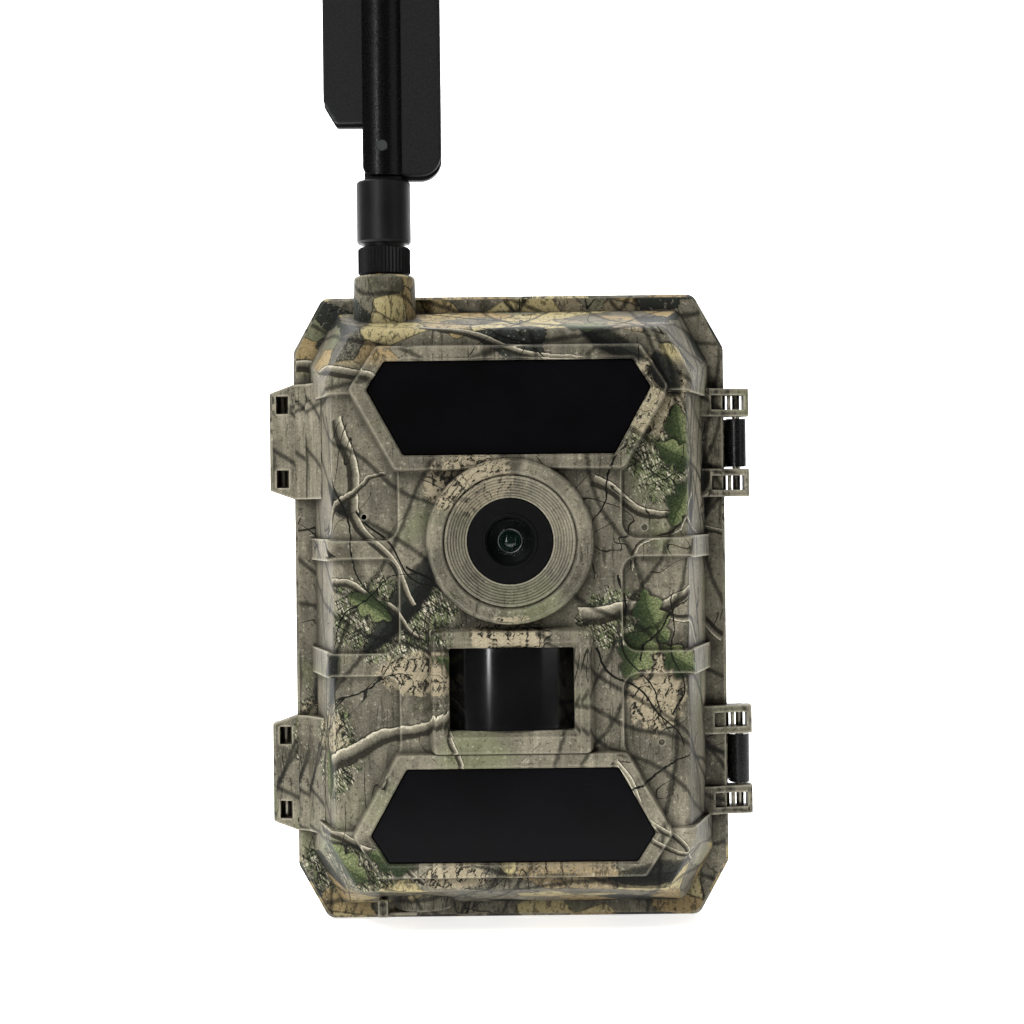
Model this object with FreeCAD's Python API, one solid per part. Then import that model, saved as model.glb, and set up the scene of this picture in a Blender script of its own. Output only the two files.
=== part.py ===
"""Trail camera: a two-half weatherproof housing with a swinging front cover, side latches and a folding antenna.

Millimetres. The front of the camera looks along -Y, +X is to the right when facing it, and +Z is up.
The origin is the mouth of the tripod thread, on the flat foot under the rear housing.
Every function below returns the shape of one node, and NODES at the end lists them with their names.
"""

import FreeCAD, Part
import math
import os

V = FreeCAD.Vector
ALONG_X, ALONG_Y, ALONG_Z = V(1, 0, 0), V(0, 1, 0), V(0, 0, 1)

# ---- Housing: driving dimensions ---------------------------------------------------------------------------------
WIDTH = 102.4            # across the flange
HEIGHT = 148.0
CORNER_X = 7.1           # corner chamfer of the outline, across
CORNER_Z = 12.8          # and down
SPLIT_Y = -20.0          # plane where cover and rear housing meet
FLANGE = 4.0             # thickness of each half's flange
FLANGE_FRONT = SPLIT_Y - FLANGE
FLANGE_BACK = SPLIT_Y + FLANGE
COVER_LIFT = 0.4         # the cover hangs this much clear of the ground line
WALL = 2.4
CORNER_R = 2.6           # rounding of the outline's corners

# ---- Cover: front faces, from the deepest to the proudest --------------------------------------------------------
PANEL_Y = SPLIT_Y - 25.2     # recessed side panels
FACE_Y = SPLIT_Y - 26.5      # spine, ribs, forehead and chin
FRAME_Y = SPLIT_Y - 28.9     # frames round the lamp windows
PIR_BLOCK_Y = SPLIT_Y - 29.4
RING_Y = SPLIT_Y - 30.4      # front of the lens ring
CAVITY_Y = SPLIT_Y - 22.8    # inside of the front wall
PANE_Y, PANE_T = FRAME_Y + 1.1, 2.0
PANE_SEAT_Y = PANE_Y + PANE_T + 0.9
COVER_INSET = 3.7            # cover wall inside the flange edge, at the flange
FACE_INSET = 9.8             # and at the front face
FACE_LIFT = 1.2              # the front face starts this much higher than its inset
PANEL_STEP = 1.1             # how far the side panels lie under the ribs

# ---- Front furniture ---------------------------------------------------------------------------------------------
MID_Z = 74.15                # the two lamp windows mirror about this height
WINDOW_TOP, WINDOW_TIP, WINDOW_LOW = 131.0, 124.6, 109.6
WINDOW_HALF_TOP, WINDOW_HALF_TIP, WINDOW_HALF_LOW = 28.2, 32.3, 24.0
FRAME_WIDTH = 3.5
LENS_Z = 90.0
PIR_Z, PIR_HALF_X, PIR_HALF_Z = 56.5, 14.2, 9.4
PIR_LENS_R = 22.0
SPINE_HALF = 25.4
RIBS = ((86.3, 90.4), (59.7, 64.8))
FOREHEAD_Z, CHIN_Z = 123.9, 24.4

# ---- Hinge side --------------------------------------------------------------------------------------------------
HINGE_X, HINGE_Y = -54.3, SPLIT_Y
HINGE_CENTRES = (113.8, 35.3)
HINGE_HALF = 13.6            # half the height of a hinge block
KNUCKLE_GAP_HALF = 6.2       # half the height of the rear housing's middle knuckle
KNUCKLE_R = 2.6
HINGE_PIN_R = 1.1
RUNNING = 0.05               # radial clearance of a turning fit

# ---- Latch side --------------------------------------------------------------------------------------------------
LATCH_X, LATCH_Y = 54.2, SPLIT_Y - 2.2
LATCH_CENTRES = (112.5, 37.4)
LATCH_HALF = 12.8            # to the outside of the knuckles
LEVER_HALF = 5.7             # half the height of the lever
KNUCKLE_T = 6.6
BARREL_R = 2.35
LATCH_PIN_R = 0.9

# ---- Rear housing ------------------------------------------------------------------------------------------------
BACK_Y = SPLIT_Y + 34.0
BACK_INSET_FRONT, BACK_INSET_REAR = 2.4, 3.6
SADDLE_DEPTH = 12.0
FOOT_HALF_X = 24.0
THREAD_R = 2.6               # 1/4-20 thread, shown at its minor diameter
THREAD_DEPTH = 8.5
INSERT_R = 4.1
LOCK_HOLE_R = 4.6
STRAP_WIDTH, STRAP_GAP = 26.6, 5.2
SADDLE_CENTRES = (114.0, 34.0)
SADDLE_HALF_X = 31.0

# ---- Batteries ---------------------------------------------------------------------------------------------------
CELL_R, CELL_LENGTH, NUB_R, NUB_LENGTH = 7.1, 49.3, 2.7, 1.2
CELL_PITCH, CELL_COLUMNS = 14.9, 6
CELL_Y = 2.5
ROW_STARTS = (17.2, 75.0)    # lower end of each row's pocket
POCKET_LENGTH = 55.8
SPRING_LENGTH = 4.2
PLATE_T = 0.4

# ---- Antenna -----------------------------------------------------------------------------------------------------
ANT_X, ANT_Y = -28.85, SPLIT_Y - 10.0
BOSS_TOP = 152.1
BOSS_R = 7.15
NUT_Z, NUT_TOP, NUT_R = 152.5, 158.9, 6.15
COLLAR_Z, COLLAR_TOP, COLLAR_R = 159.8, 174.4, 6.35
PIVOT_Z = 182.3
BLADE_TOP = 342.0
BLADE_HALF = 13.7
BLADE_FACE, SPINE_FACE = 2.7, 4.8     # half thickness of the wings and of the spine
SPINE_W = 4.6
SLOT_HALF = 2.0                        # half the fork's slot
TONGUE_HALF = 1.9
PIVOT_R = 1.3

# ---- Inside of the cover -----------------------------------------------------------------------------------------
DECK_Y = SPLIT_Y + 2.6       # rear face of the inner panel
CONSOLE_Y = SPLIT_Y + 8.0    # rear face of the raised console
CONSOLE_HALF, CONSOLE_LOW, CONSOLE_TOP = 33.0, 13.0, 130.0
SCREEN_HALF_X, SCREEN_HALF_Z, SCREEN_Z = 23.0, 17.5, 105.0
KEY_Z = 71.0
KEY_PITCH = 9.5
KEY_PROUD = 1.2
KEY_ROOM = 0.35
CARD_Z, CARD_WIDTH, CARD_LENGTH, CARD_T = 36.0, 24.0, 32.0, 2.1
SIM_Z, SIM_WIDTH, SIM_LENGTH, SIM_T = 36.0, 12.0, 15.0, 0.8
CARD_PROUD = 3.0             # how far each card stands out of the console's side
BOARD_Y, BOARD_T = -27.0, 1.6
PANEL_SCREWS = ((38.0, 132.5), (39.8, 74.0), (38.0, 15.5))
POWER_PINS, POWER_Z, POWER_PIN_R = (-41.2, -38.6, -36.0), 90.0, 0.8
PLUG_X, PLUG_Z = -21.6, 4.1


# ---- Shape helpers -----------------------------------------------------------------------------------------------
def box(x0, x1, y0, y1, z0, z1):
    return Part.makeBox(x1 - x0, y1 - y0, z1 - z0, V(x0, y0, z0))


def rod(radius, start, end):
    """Round bar between two points."""
    a, b = V(*start), V(*end)
    return Part.makeCylinder(radius, (b - a).Length, a, b - a)


def joined(shapes):
    """Union of a list of shapes, with the seams between flat faces removed."""
    first, *rest = shapes
    return (first.multiFuse(rest) if rest else first).removeSplitter()


def group(shapes):
    """Separate solids kept together in one node."""
    return Part.makeCompound(shapes)


def offset(points, distance):
    """Outline (x, z, corner radius), counter-clockwise, with every edge moved outwards by distance."""
    lines = []
    for (x0, z0, _), (x1, z1, _) in zip(points, points[1:] + points[:1]):
        length = math.hypot(x1 - x0, z1 - z0)
        nx, nz = (z1 - z0) / length, (x0 - x1) / length
        lines.append((nx, nz, nx * x0 + nz * z0 + distance))
    moved = []
    for (a, b, c), (d, e, f), (_, _, radius) in zip(lines[-1:] + lines[:-1], lines, points):
        det = a * e - b * d
        moved.append(((c * e - b * f) / det, (a * f - c * d) / det, radius))
    return moved


def wire(points, y):
    """Closed wire in the plane y, with each corner rounded to its own radius."""
    edges, last, first = [], None, None
    for i, (x, z, radius) in enumerate(points):
        here = V(x, y, z)
        to_last = (V(points[i - 1][0], y, points[i - 1][1]) - here).normalize()
        following = points[(i + 1) % len(points)]
        to_next = (V(following[0], y, following[1]) - here).normalize()
        if radius:
            half = to_last.getAngle(to_next) / 2
            reach = radius / math.tan(half)
            start, end = here + to_last * reach, here + to_next * reach
            centre = here + (to_last + to_next).normalize() * (radius / math.sin(half))
            middle = centre + (here - centre).normalize() * radius
            arc = Part.Arc(start, middle, end).toShape()
        else:
            start, end, arc = here, here, None
        if last is not None:
            edges.append(Part.makeLine(last, start))
        else:
            first = start
        if arc:
            edges.append(arc)
        last = end
    edges.append(Part.makeLine(last, first))
    return Part.Wire(edges)


def prism(points, y0, y1):
    """Outline pushed straight from plane y0 to plane y1."""
    return Part.Face(wire(points, y0)).extrude(V(0, y1 - y0, 0))


def frustum(points0, y0, points1, y1):
    """Straight-sided solid between two outlines with the same corners."""
    return Part.makeLoft([wire(points0, y0), wire(points1, y1)], True, True)


def plan(points, z0, z1):
    """Polygon of (x, y) points pushed up from z0 to z1."""
    corners = [V(x, y, z0) for x, y in points]
    return Part.Face(Part.makePolygon(corners + corners[:1])).extrude(V(0, 0, z1 - z0))


def side(points, x0, x1):
    """Polygon of (y, z) points pushed across from x0 to x1."""
    corners = [V(x0, y, z) for y, z in points]
    return Part.Face(Part.makePolygon(corners + corners[:1])).extrude(V(x1 - x0, 0, 0))


def turned(profile, x, z):
    """Solid of revolution about a front-to-back axis; profile holds (radius, y)."""
    corners = [V(x + r, y, z) for r, y in profile]
    face = Part.Face(Part.makePolygon(corners + corners[:1]))
    return face.revolve(V(x, 0, z), ALONG_Y, 360)


def spun(profile, x, y):
    """Solid of revolution about an upright axis; profile holds (radius, z)."""
    corners = [V(x + r, y, z) for r, z in profile]
    face = Part.Face(Part.makePolygon(corners + corners[:1]))
    return face.revolve(V(x, y, 0), ALONG_Z, 360)


def edges_in_plane(shape, y):
    return [e for e in shape.Edges if all(abs(v.Point.y - y) < 1e-4 for v in e.Vertexes)]


def rectangle(x, z, half_x, half_z, radius=0.0):
    """Counter-clockwise outline of a rectangle with equal corner radii."""
    return [
        (x - half_x, z - half_z, radius),
        (x + half_x, z - half_z, radius),
        (x + half_x, z + half_z, radius),
        (x - half_x, z + half_z, radius),
    ]


def mirrored(shape):
    """The same shape on the other side of the camera's middle plane."""
    return shape.mirror(V(0, 0, 0), ALONG_X)


# ---- Outlines ----------------------------------------------------------------------------------------------------
def body_outline(inset, keep=1.0, radius=CORNER_R, lift=0.0):
    """The housing's eight-cornered outline, moved in by inset. keep scales the corner chamfers."""
    half, low, top = WIDTH / 2 - inset, inset + lift, HEIGHT - inset
    cx, cz = CORNER_X * keep, CORNER_Z * keep
    return [
        (-half + cx, low, radius),
        (half - cx, low, radius),
        (half, low + cz, radius),
        (half, top - cz, radius),
        (half - cx, top, radius),
        (-half + cx, top, radius),
        (-half, top - cz, radius),
        (-half, low + cz, radius),
    ]


def window_outline(upper, grow=0.0, radius=0.9):
    """Six-cornered lamp window: long edge towards the housing's end, points at the sides."""
    outline = [
        (-WINDOW_HALF_LOW, WINDOW_LOW, radius),
        (WINDOW_HALF_LOW, WINDOW_LOW, radius),
        (WINDOW_HALF_TIP, WINDOW_TIP, radius),
        (WINDOW_HALF_TOP, WINDOW_TOP, radius),
        (-WINDOW_HALF_TOP, WINDOW_TOP, radius),
        (-WINDOW_HALF_TIP, WINDOW_TIP, radius),
    ]
    if not upper:
        outline = [(x, 2 * MID_Z - z, r) for x, z, r in reversed(outline)]
    return offset(outline, grow)


def raised_outline():
    """Everything on the front that stands above the side panels: forehead, spine, two ribs a side and chin."""
    (low_a, top_a), (low_b, top_b) = RIBS
    far, bend, blend = WIDTH / 2 + 5, 29.5, 3.6
    right = [
        (far, -5, 0),
        (far, CHIN_Z, 0),
        (bend + 5, CHIN_Z, 1.0),
        (SPINE_HALF, 43.0, 2.0),
        (SPINE_HALF, low_b, blend),
        (far, low_b, 0),
        (far, top_b, 0),
        (SPINE_HALF, top_b, blend),
        (SPINE_HALF, low_a, blend),
        (far, low_a, 0),
        (far, top_a, 0),
        (SPINE_HALF, top_a, blend),
        (SPINE_HALF, 106.0, 2.0),
        (bend + 5, FOREHEAD_Z, 1.0),
        (far, FOREHEAD_Z, 0),
        (far, HEIGHT + 5, 0),
    ]
    return right + [(-x, z, r) for x, z, r in reversed(right)]


# ---- Front cover -------------------------------------------------------------------------------------------------
def cover_skin():
    """Outer form: flange, sloping wall, recessed panels and the raised spine, ribs, forehead and chin."""
    wall_foot = body_outline(COVER_INSET, 0.97, lift=COVER_LIFT / 2)
    crest = body_outline(FACE_INSET, 0.9, lift=FACE_LIFT)
    high = frustum(wall_foot, FLANGE_FRONT + 0.5, crest, FACE_Y)
    high = high.makeFillet(2.0, edges_in_plane(high, FACE_Y))
    deep = frustum(offset(wall_foot, -PANEL_STEP), FLANGE_FRONT + 0.5, offset(crest, -PANEL_STEP), PANEL_Y)
    deep = deep.makeFillet(1.6, edges_in_plane(deep, PANEL_Y))
    raised = offset(raised_outline(), 0.45)
    mask = frustum(raised, PANEL_Y + 0.2, offset(raised_outline(), -0.2), FACE_Y - 0.4)
    skirt = prism(raised, PANEL_Y + 0.2, SPLIT_Y)
    flange = prism(body_outline(0, lift=COVER_LIFT), SPLIT_Y, FLANGE_FRONT)
    flange = flange.makeChamfer(0.7, edges_in_plane(flange, FLANGE_FRONT))
    return [deep, high.common(mask.fuse(skirt)), flange]


def window_frame(upper):
    """Raised frame round a lamp window, with sloping outer sides."""
    foot, crest = window_outline(upper, FRAME_WIDTH + 0.5, 1.6), window_outline(upper, FRAME_WIDTH - 0.3, 1.4)
    frame = frustum(foot, PANEL_Y + 0.4, crest, FRAME_Y)
    return frame.makeFillet(0.35, edges_in_plane(frame, FRAME_Y))


def window_cuts(upper):
    """Opening for a lamp window: sloping lip, seat for the pane, and the light's way through the wall."""
    lip = frustum(window_outline(upper, 0.55), FRAME_Y - 0.1, window_outline(upper), FRAME_Y + 0.5)
    seat = prism(window_outline(upper), FRAME_Y + 0.4, PANE_SEAT_Y)
    light = prism(window_outline(upper, -1.9), PANE_SEAT_Y - 0.1, CAVITY_Y + 1)
    return [lip, seat, light]


RING_STEPS = 7
RING_CONE = (14.8, 10.4)     # radii where the stepped cone starts and ends
RING_CONE_DEPTH = 2.6


def lens_ring():
    """Round collar about the lens: flat rim, a narrow gutter, then fine steps going down to the bezel's seat."""
    start, end = RING_CONE
    wide, deep = (start - end) / RING_STEPS, RING_CONE_DEPTH / RING_STEPS
    top = RING_Y + 0.9
    profile = [(19.4, PANEL_Y + 0.4), (19.2, FACE_Y - 0.3), (18.7, RING_Y + 0.6), (18.1, RING_Y)]
    profile += [(15.7, RING_Y), (15.3, RING_Y + 0.35), (15.2, top + 0.2), (start, top + 0.2), (start, top)]
    for step in range(1, RING_STEPS + 1):
        radius, y = start - wide * step, top + deep * step
        profile += [(radius + 0.12, y - deep), (radius, y)]
    profile += [(9.9, profile[-1][1]), (9.9, PANEL_Y + 0.4)]
    return turned(profile, 0, LENS_Z)


def pir_block():
    """Raised block that carries the motion sensor's lens; it runs down onto the lower lamp frame."""
    foot = [(-19.4, 41.6, 1.2), (19.4, 41.6, 1.2), (19.4, 71.0, 1.2), (-19.4, 71.0, 1.2)]
    crest = [(-17.6, 42.0, 1.0), (17.6, 42.0, 1.0), (17.6, 69.6, 1.0), (-17.6, 69.6, 1.0)]
    block = frustum(foot, PANEL_Y + 0.4, crest, PIR_BLOCK_Y)
    return block.makeFillet(0.5, edges_in_plane(block, PIR_BLOCK_Y))


def pir_cuts():
    straight = rectangle(0, PIR_Z, PIR_HALF_X, PIR_HALF_Z, 0.5)
    lip = frustum(offset(straight, 1.3), PIR_BLOCK_Y - 0.01, straight, PIR_BLOCK_Y + 1.4)
    return [lip, prism(straight, PIR_BLOCK_Y, CAVITY_Y + 1)]


def boss(x, z_foot, z_end, radius, flare=0.35):
    """Upright round boss on the cover's end wall, slightly wider where it meets the wall."""
    edge = 0.5 if z_end > z_foot else -0.5
    return spun(
        [(0, z_foot), (radius + flare, z_foot), (radius, z_end - edge), (radius - 0.5, z_end), (0, z_end)], x, ANT_Y
    )


def hinge_block(centre):
    """Cover's half of one hinge: a shield over the pin, a knuckle at each end, and a window on each knuckle."""
    low, top = centre - HINGE_HALF, centre + HINGE_HALF
    outer = -WIDTH / 2 - 5.8
    shield = plan(
        [
            (outer, SPLIT_Y - 1), (outer, -23.6), (outer + 0.8, -24.4), (-50.8, -25.0),
            (-48.2, -26.6), (-44.0, -33.0), (-43.6, -33.0), (-45.0, -23), (-51.2, SPLIT_Y - 1),
        ],
        low,
        top,
    )
    for z, way in ((low, 1), (top, -1)):
        corner = [(outer - 1, z - way), (-51.2, z - way), (-51.2, z), (outer - 1, z + way * 2.4)]
        wedge = Part.Face(Part.makePolygon([V(x, SPLIT_Y - 10, h) for x, h in corner + corner[:1]]))
        shield = shield.cut(wedge.extrude(V(0, 12, 0)))
    room = rod(KNUCKLE_R + 0.4, (HINGE_X, HINGE_Y, centre - 6.5), (HINGE_X, HINGE_Y, centre + 6.5))
    shield = shield.cut(room).cut(box(-60, -51.2, SPLIT_Y - 2.0, SPLIT_Y, centre - 6.5, centre + 6.5))
    knuckles = []
    for z0, z1 in ((low + 1.9, centre - 6.5), (centre + 6.5, top - 1.9)):
        knuckles.append(rod(KNUCKLE_R, (HINGE_X, HINGE_Y, z0), (HINGE_X, HINGE_Y, z1)))
        knuckles.append(box(HINGE_X - 2.4, -51.2, SPLIT_Y - 2.5, SPLIT_Y - 0.2, z0, z1))
    solid = joined([shield] + knuckles)
    bore = rod(HINGE_PIN_R + RUNNING, (HINGE_X, HINGE_Y, low), (HINGE_X, HINGE_Y, top))
    windows = [
        box(HINGE_X - 1.0, HINGE_X + 1.9, -30, SPLIT_Y - 0.3, z0, z0 + 4.2) for z0 in (low + 2.7, top - 2.7 - 4.2)
    ]
    return solid.cut(bore).cut(group(windows))


def latch_bracket(centre):
    """Cover's half of one latch: two hollow-fronted knuckles that hold the lever's pin."""
    made = []
    for way in (-1, 1):
        z0, z1 = sorted((centre + way * LATCH_HALF, centre + way * (LATCH_HALF - KNUCKLE_T)))
        outline = [
            (44.4, SPLIT_Y - 0.5), (44.4, -27.8), (47.4, -27.8), (50.4, -26.4), (56.4, -25.6), (56.9, -25.1),
            (56.9, SPLIT_Y - 0.5),
        ]
        knuckle = plan(outline, z0, z1)
        pocket = box(47.8, 55.7, -30, -23.4, z0 + 1.6, z1 - 1.6)
        web = box(52.0, 52.7, -25.4, -23.0, z0 + 1.2, z1 - 1.2)
        well = box(51.6, 55.7, -30, SPLIT_Y + 0.5, z0 + 1.6, z1 - 1.6)
        made.append(joined([knuckle.cut(pocket.fuse(well)), web]))
    apron = box(44.4, 50.6, -26.2, SPLIT_Y - 0.5, centre - LATCH_HALF + 1, centre + LATCH_HALF - 1)
    bore = rod(LATCH_PIN_R, (LATCH_X, LATCH_Y, centre - LATCH_HALF - 1), (LATCH_X, LATCH_Y, centre + LATCH_HALF + 1))
    return joined(made + [apron]).cut(bore)


SIDE_MARKS = ((30.6, 92.8), (34.0, 43.9))    # small moulded dimples beside the ribs


def cover_cavity(grow):
    """The room inside the cover, made larger all round by grow."""
    mouth = offset(body_outline(0), grow - 6.6)
    return frustum(mouth, SPLIT_Y + 0.1, offset(body_outline(FACE_INSET - 0.9, 0.9), grow - WALL), CAVITY_Y - grow)


def front_cover():
    """The moulded front half, with all its outside furniture and the posts for the inner panel's screws."""
    skin = joined(
        cover_skin()
        + [window_frame(True), window_frame(False), pir_block(), lens_ring_foot()]
        + [boss(ANT_X, 137.0, BOSS_TOP, BOSS_R), boss(PLUG_X, 14.0, PLUG_Z, BOSS_R)]
    )
    skin = skin.cut(cover_cavity(0))
    extras = [hinge_block(z) for z in HINGE_CENTRES] + [latch_bracket(z) for z in LATCH_CENTRES]
    extras += [lens_ring()]
    for x, z in PANEL_SCREWS:
        for sign in (-1, 1):
            post = rod(3.0, (sign * x, CAVITY_Y - 0.2, z), (sign * x, SPLIT_Y, z))
            extras.append(post.common(cover_cavity(0.6)))
    tongue = prism(body_outline(3.5), SPLIT_Y, SPLIT_Y + 0.8).cut(prism(body_outline(4.5), SPLIT_Y - 1, SPLIT_Y + 1))
    extras.append(tongue)
    solid = joined([skin] + extras)
    cuts = window_cuts(True) + window_cuts(False) + pir_cuts()
    cuts.append(rod(9.9, (0, RING_Y - 1, LENS_Z), (0, CAVITY_Y + 1, LENS_Z)))
    cuts.append(rod(3.3, (ANT_X, ANT_Y, 130), (ANT_X, ANT_Y, BOSS_TOP + 1)))
    cuts.append(rod(4.2, (PLUG_X, ANT_Y, -1), (PLUG_X, ANT_Y, PLUG_Z + 12)))
    cuts.append(rod(0.6, (-33.2, PANEL_Y - 1, 95.8), (-33.2, CAVITY_Y + 1, 95.8)))
    for x, z in SIDE_MARKS:
        cuts.append(rod(0.7, (x, PANEL_Y - 1, z), (x, PANEL_Y + 0.35, z)))
    for x, z in PANEL_SCREWS:
        for sign in (-1, 1):
            cuts.append(rod(1.15, (sign * x, SPLIT_Y - 13, z), (sign * x, SPLIT_Y + 1, z)))
    for centre in HINGE_CENTRES:
        cuts.append(box(-53, -50.9, SPLIT_Y - 3.2, SPLIT_Y + 1, centre - 6.5, centre + 6.5))
    for centre in LATCH_CENTRES:
        cuts.append(rod(LATCH_PIN_R, (LATCH_X, LATCH_Y, centre - LATCH_HALF), (LATCH_X, LATCH_Y, centre + LATCH_HALF)))
    return solid.cut(group(cuts)).removeSplitter()


def lens_ring_foot():
    """Plain disc that backs the lens ring, so that the ring stands on solid wall."""
    return rod(19.0, (0, PANEL_Y + 3, LENS_Z), (0, FACE_Y, LENS_Z))


def lamp_window(upper):
    """Dark pane over one row of lamps."""
    pane = prism(window_outline(upper, -0.12), PANE_Y, PANE_Y + PANE_T)
    return pane.makeChamfer(0.2, edges_in_plane(pane, PANE_Y))


def window_gaskets():
    """Foam rings behind the two panes."""
    rings = []
    for upper in (True, False):
        outer = prism(window_outline(upper, -0.15), PANE_Y + PANE_T, PANE_SEAT_Y)
        rings.append(outer.cut(prism(window_outline(upper, -1.9), PANE_Y, PANE_SEAT_Y + 1)))
    return group(rings)


# ---- Optics ------------------------------------------------------------------------------------------------------
def lens_bezel():
    """Black front ring of the lens, with a raised inner lip and a throat going down to the glass."""
    y = RING_Y + 3.3
    profile = [(9.8, y + 0.25), (9.55, y), (6.4, y), (6.2, y - 0.25), (5.75, y - 0.25), (5.6, y), (5.35, y + 0.6)]
    profile += [(5.35, y + 3.1), (7.6, y + 3.1), (7.6, y + 6.5), (9.8, y + 6.5)]
    return turned(profile, 0, LENS_Z)


LENS_SEAT_Y = RING_Y + 6.45      # rear of the front lens


def lens_glass():
    """Domed front lens."""
    ball = Part.makeSphere(8.2, V(0, LENS_SEAT_Y - 2.6 + 8.2, LENS_Z))
    return ball.common(rod(5.25, (0, LENS_SEAT_Y - 4, LENS_Z), (0, LENS_SEAT_Y - 0.15, LENS_Z)))


def lens_barrel():
    """Threaded barrel behind the front lens, with the iris cone in its front."""
    y = LENS_SEAT_Y
    profile = [(7.5, y), (5.0, y), (2.7, y + 1.6), (2.3, y + 1.6), (2.3, y + 9.0), (6.0, y + 9.0), (6.0, y + 3.2)]
    return turned(profile + [(7.5, y + 3.2)], 0, LENS_Z)


HOLDER_Y0, HOLDER_Y1 = LENS_SEAT_Y + 3.4, BOARD_Y - 0.2
FILTER_Y, FILTER_T = LENS_SEAT_Y + 9.6, 0.8


def lens_holder():
    """Block on the main board that screws onto the barrel and houses the sliding filter."""
    body = box(-11.5, 11.5, HOLDER_Y0, HOLDER_Y1, LENS_Z - 9, LENS_Z + 9)
    bore = rod(6.05, (0, HOLDER_Y0 - 1, LENS_Z), (0, LENS_SEAT_Y + 9.2, LENS_Z))
    room = box(-10.3, 10.3, FILTER_Y - 0.4, HOLDER_Y1 + 1, LENS_Z - 6.3, LENS_Z + 6.3)
    return body.cut(bore.fuse(rod(3.0, (0, HOLDER_Y0, LENS_Z), (0, HOLDER_Y1, LENS_Z))).fuse(room))


def ir_cut_filter():
    """Little sledge with two glass squares that a coil shifts sideways behind the lens."""
    sledge = box(-9.9, 3.6, FILTER_Y, FILTER_Y + FILTER_T, LENS_Z - 5.4, LENS_Z + 5.4)
    holes = [box(x - 2.6, x + 2.6, FILTER_Y - 1, FILTER_Y + 0.3, LENS_Z - 2.6, LENS_Z + 2.6) for x in (0, -6.3)]
    return sledge.cut(group(holes))


def image_sensor():
    return box(-5, 5, HOLDER_Y1 - 1.0, HOLDER_Y1 + 0.2, LENS_Z - 4.5, LENS_Z + 4.5)


def pir_lens():
    """Dark curved lens: a bowed shell that fills the block's opening, on a flat flange inside the wall."""
    front = PIR_BLOCK_Y + 0.5
    hub = front + PIR_LENS_R
    z0, z1 = PIR_Z - PIR_HALF_Z + 0.1, PIR_Z + PIR_HALF_Z - 0.1
    solid = rod(PIR_LENS_R, (0, hub, z0), (0, hub, z1)).cut(rod(PIR_LENS_R - 0.9, (0, hub, z0 - 1), (0, hub, z1 + 1)))
    shell = solid.common(box(-PIR_HALF_X + 0.1, PIR_HALF_X - 0.1, front - 1, CAVITY_Y + 1.2, z0, z1))
    flange = box(-16.6, 16.6, CAVITY_Y + 0.05, CAVITY_Y + 1.2, PIR_Z - 11.6, PIR_Z + 11.6)
    hole = box(-PIR_HALF_X + 1.2, PIR_HALF_X - 1.2, CAVITY_Y - 1, CAVITY_Y + 2, z0 + 1.0, z1 - 1.0)
    edge = PIR_HALF_X - 0.1
    root = hub - math.sqrt(PIR_LENS_R**2 - edge**2) + 0.1
    sides = [box(min(a, b), max(a, b), root, CAVITY_Y + 1.2, z0, z1) for a, b in ((-edge, 0.9 - edge), (edge, edge - 0.9))]
    return joined([shell, flange.cut(hole), plan_cap(front, hub, z0), plan_cap(front, hub, z1 - 1.0)] + sides)


def plan_cap(front, hub, z):
    """Flat end of the motion lens, one millimetre thick."""
    disc = rod(PIR_LENS_R - 0.4, (0, hub, z), (0, hub, z + 1.0))
    return disc.common(box(-PIR_HALF_X + 0.1, PIR_HALF_X - 0.1, front, CAVITY_Y + 1.2, z, z + 1.0))


def pir_sensor():
    """Metal can of the heat sensor, its three legs going to the main board."""
    can = rod(4.6, (0, CAVITY_Y + 3.2, PIR_Z), (0, CAVITY_Y + 7.2, PIR_Z))
    rim = rod(5.0, (0, CAVITY_Y + 6.8, PIR_Z), (0, CAVITY_Y + 7.4, PIR_Z))
    legs = [
        rod(0.25, (2.5 * math.cos(a), CAVITY_Y + 7.0, PIR_Z + 2.5 * math.sin(a)),
            (2.5 * math.cos(a), BOARD_Y, PIR_Z + 2.5 * math.sin(a)))
        for a in (0, math.pi / 2, math.pi)
    ]
    return joined([can, rim] + legs)


LAMP_BOARD_Y = CAVITY_Y + 2.2


def lamp_board(upper):
    """Six-cornered circuit board behind a lamp window."""
    return prism(window_outline(upper, -1.0), LAMP_BOARD_Y, LAMP_BOARD_Y + 1.2)


def lamps(upper):
    """Grid of infrared lamps on one board: three rows of domed emitters."""
    middle = (WINDOW_TOP + WINDOW_LOW) / 2 if upper else 2 * MID_Z - (WINDOW_TOP + WINDOW_LOW) / 2
    made = []
    for row, count in ((-1, 7), (0, 8), (1, 7)):
        for column in range(count):
            x, z = (column - (count - 1) / 2) * 6.4, middle + row * 6.2
            stem = rod(1.75, (x, LAMP_BOARD_Y - 1.5, z), (x, LAMP_BOARD_Y, z))
            dome = Part.makeSphere(1.6, V(x, LAMP_BOARD_Y - 1.5, z))
            made.append(stem.fuse(dome.common(box(x - 3, x + 3, LAMP_BOARD_Y - 4, LAMP_BOARD_Y, z - 3, z + 3))))
    return group(made)


# ---- Electronics and inner panel ---------------------------------------------------------------------------------
def main_board():
    """Main circuit board, cut away round the screw posts."""
    board = prism(rectangle(0, 74, 38.5, 60, 3), BOARD_Y, BOARD_Y + BOARD_T)
    posts = [rod(4.2, (s * x, -40, z), (s * x, 0, z)) for x, z in PANEL_SCREWS for s in (-1, 1)]
    return board.cut(group(posts))


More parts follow.
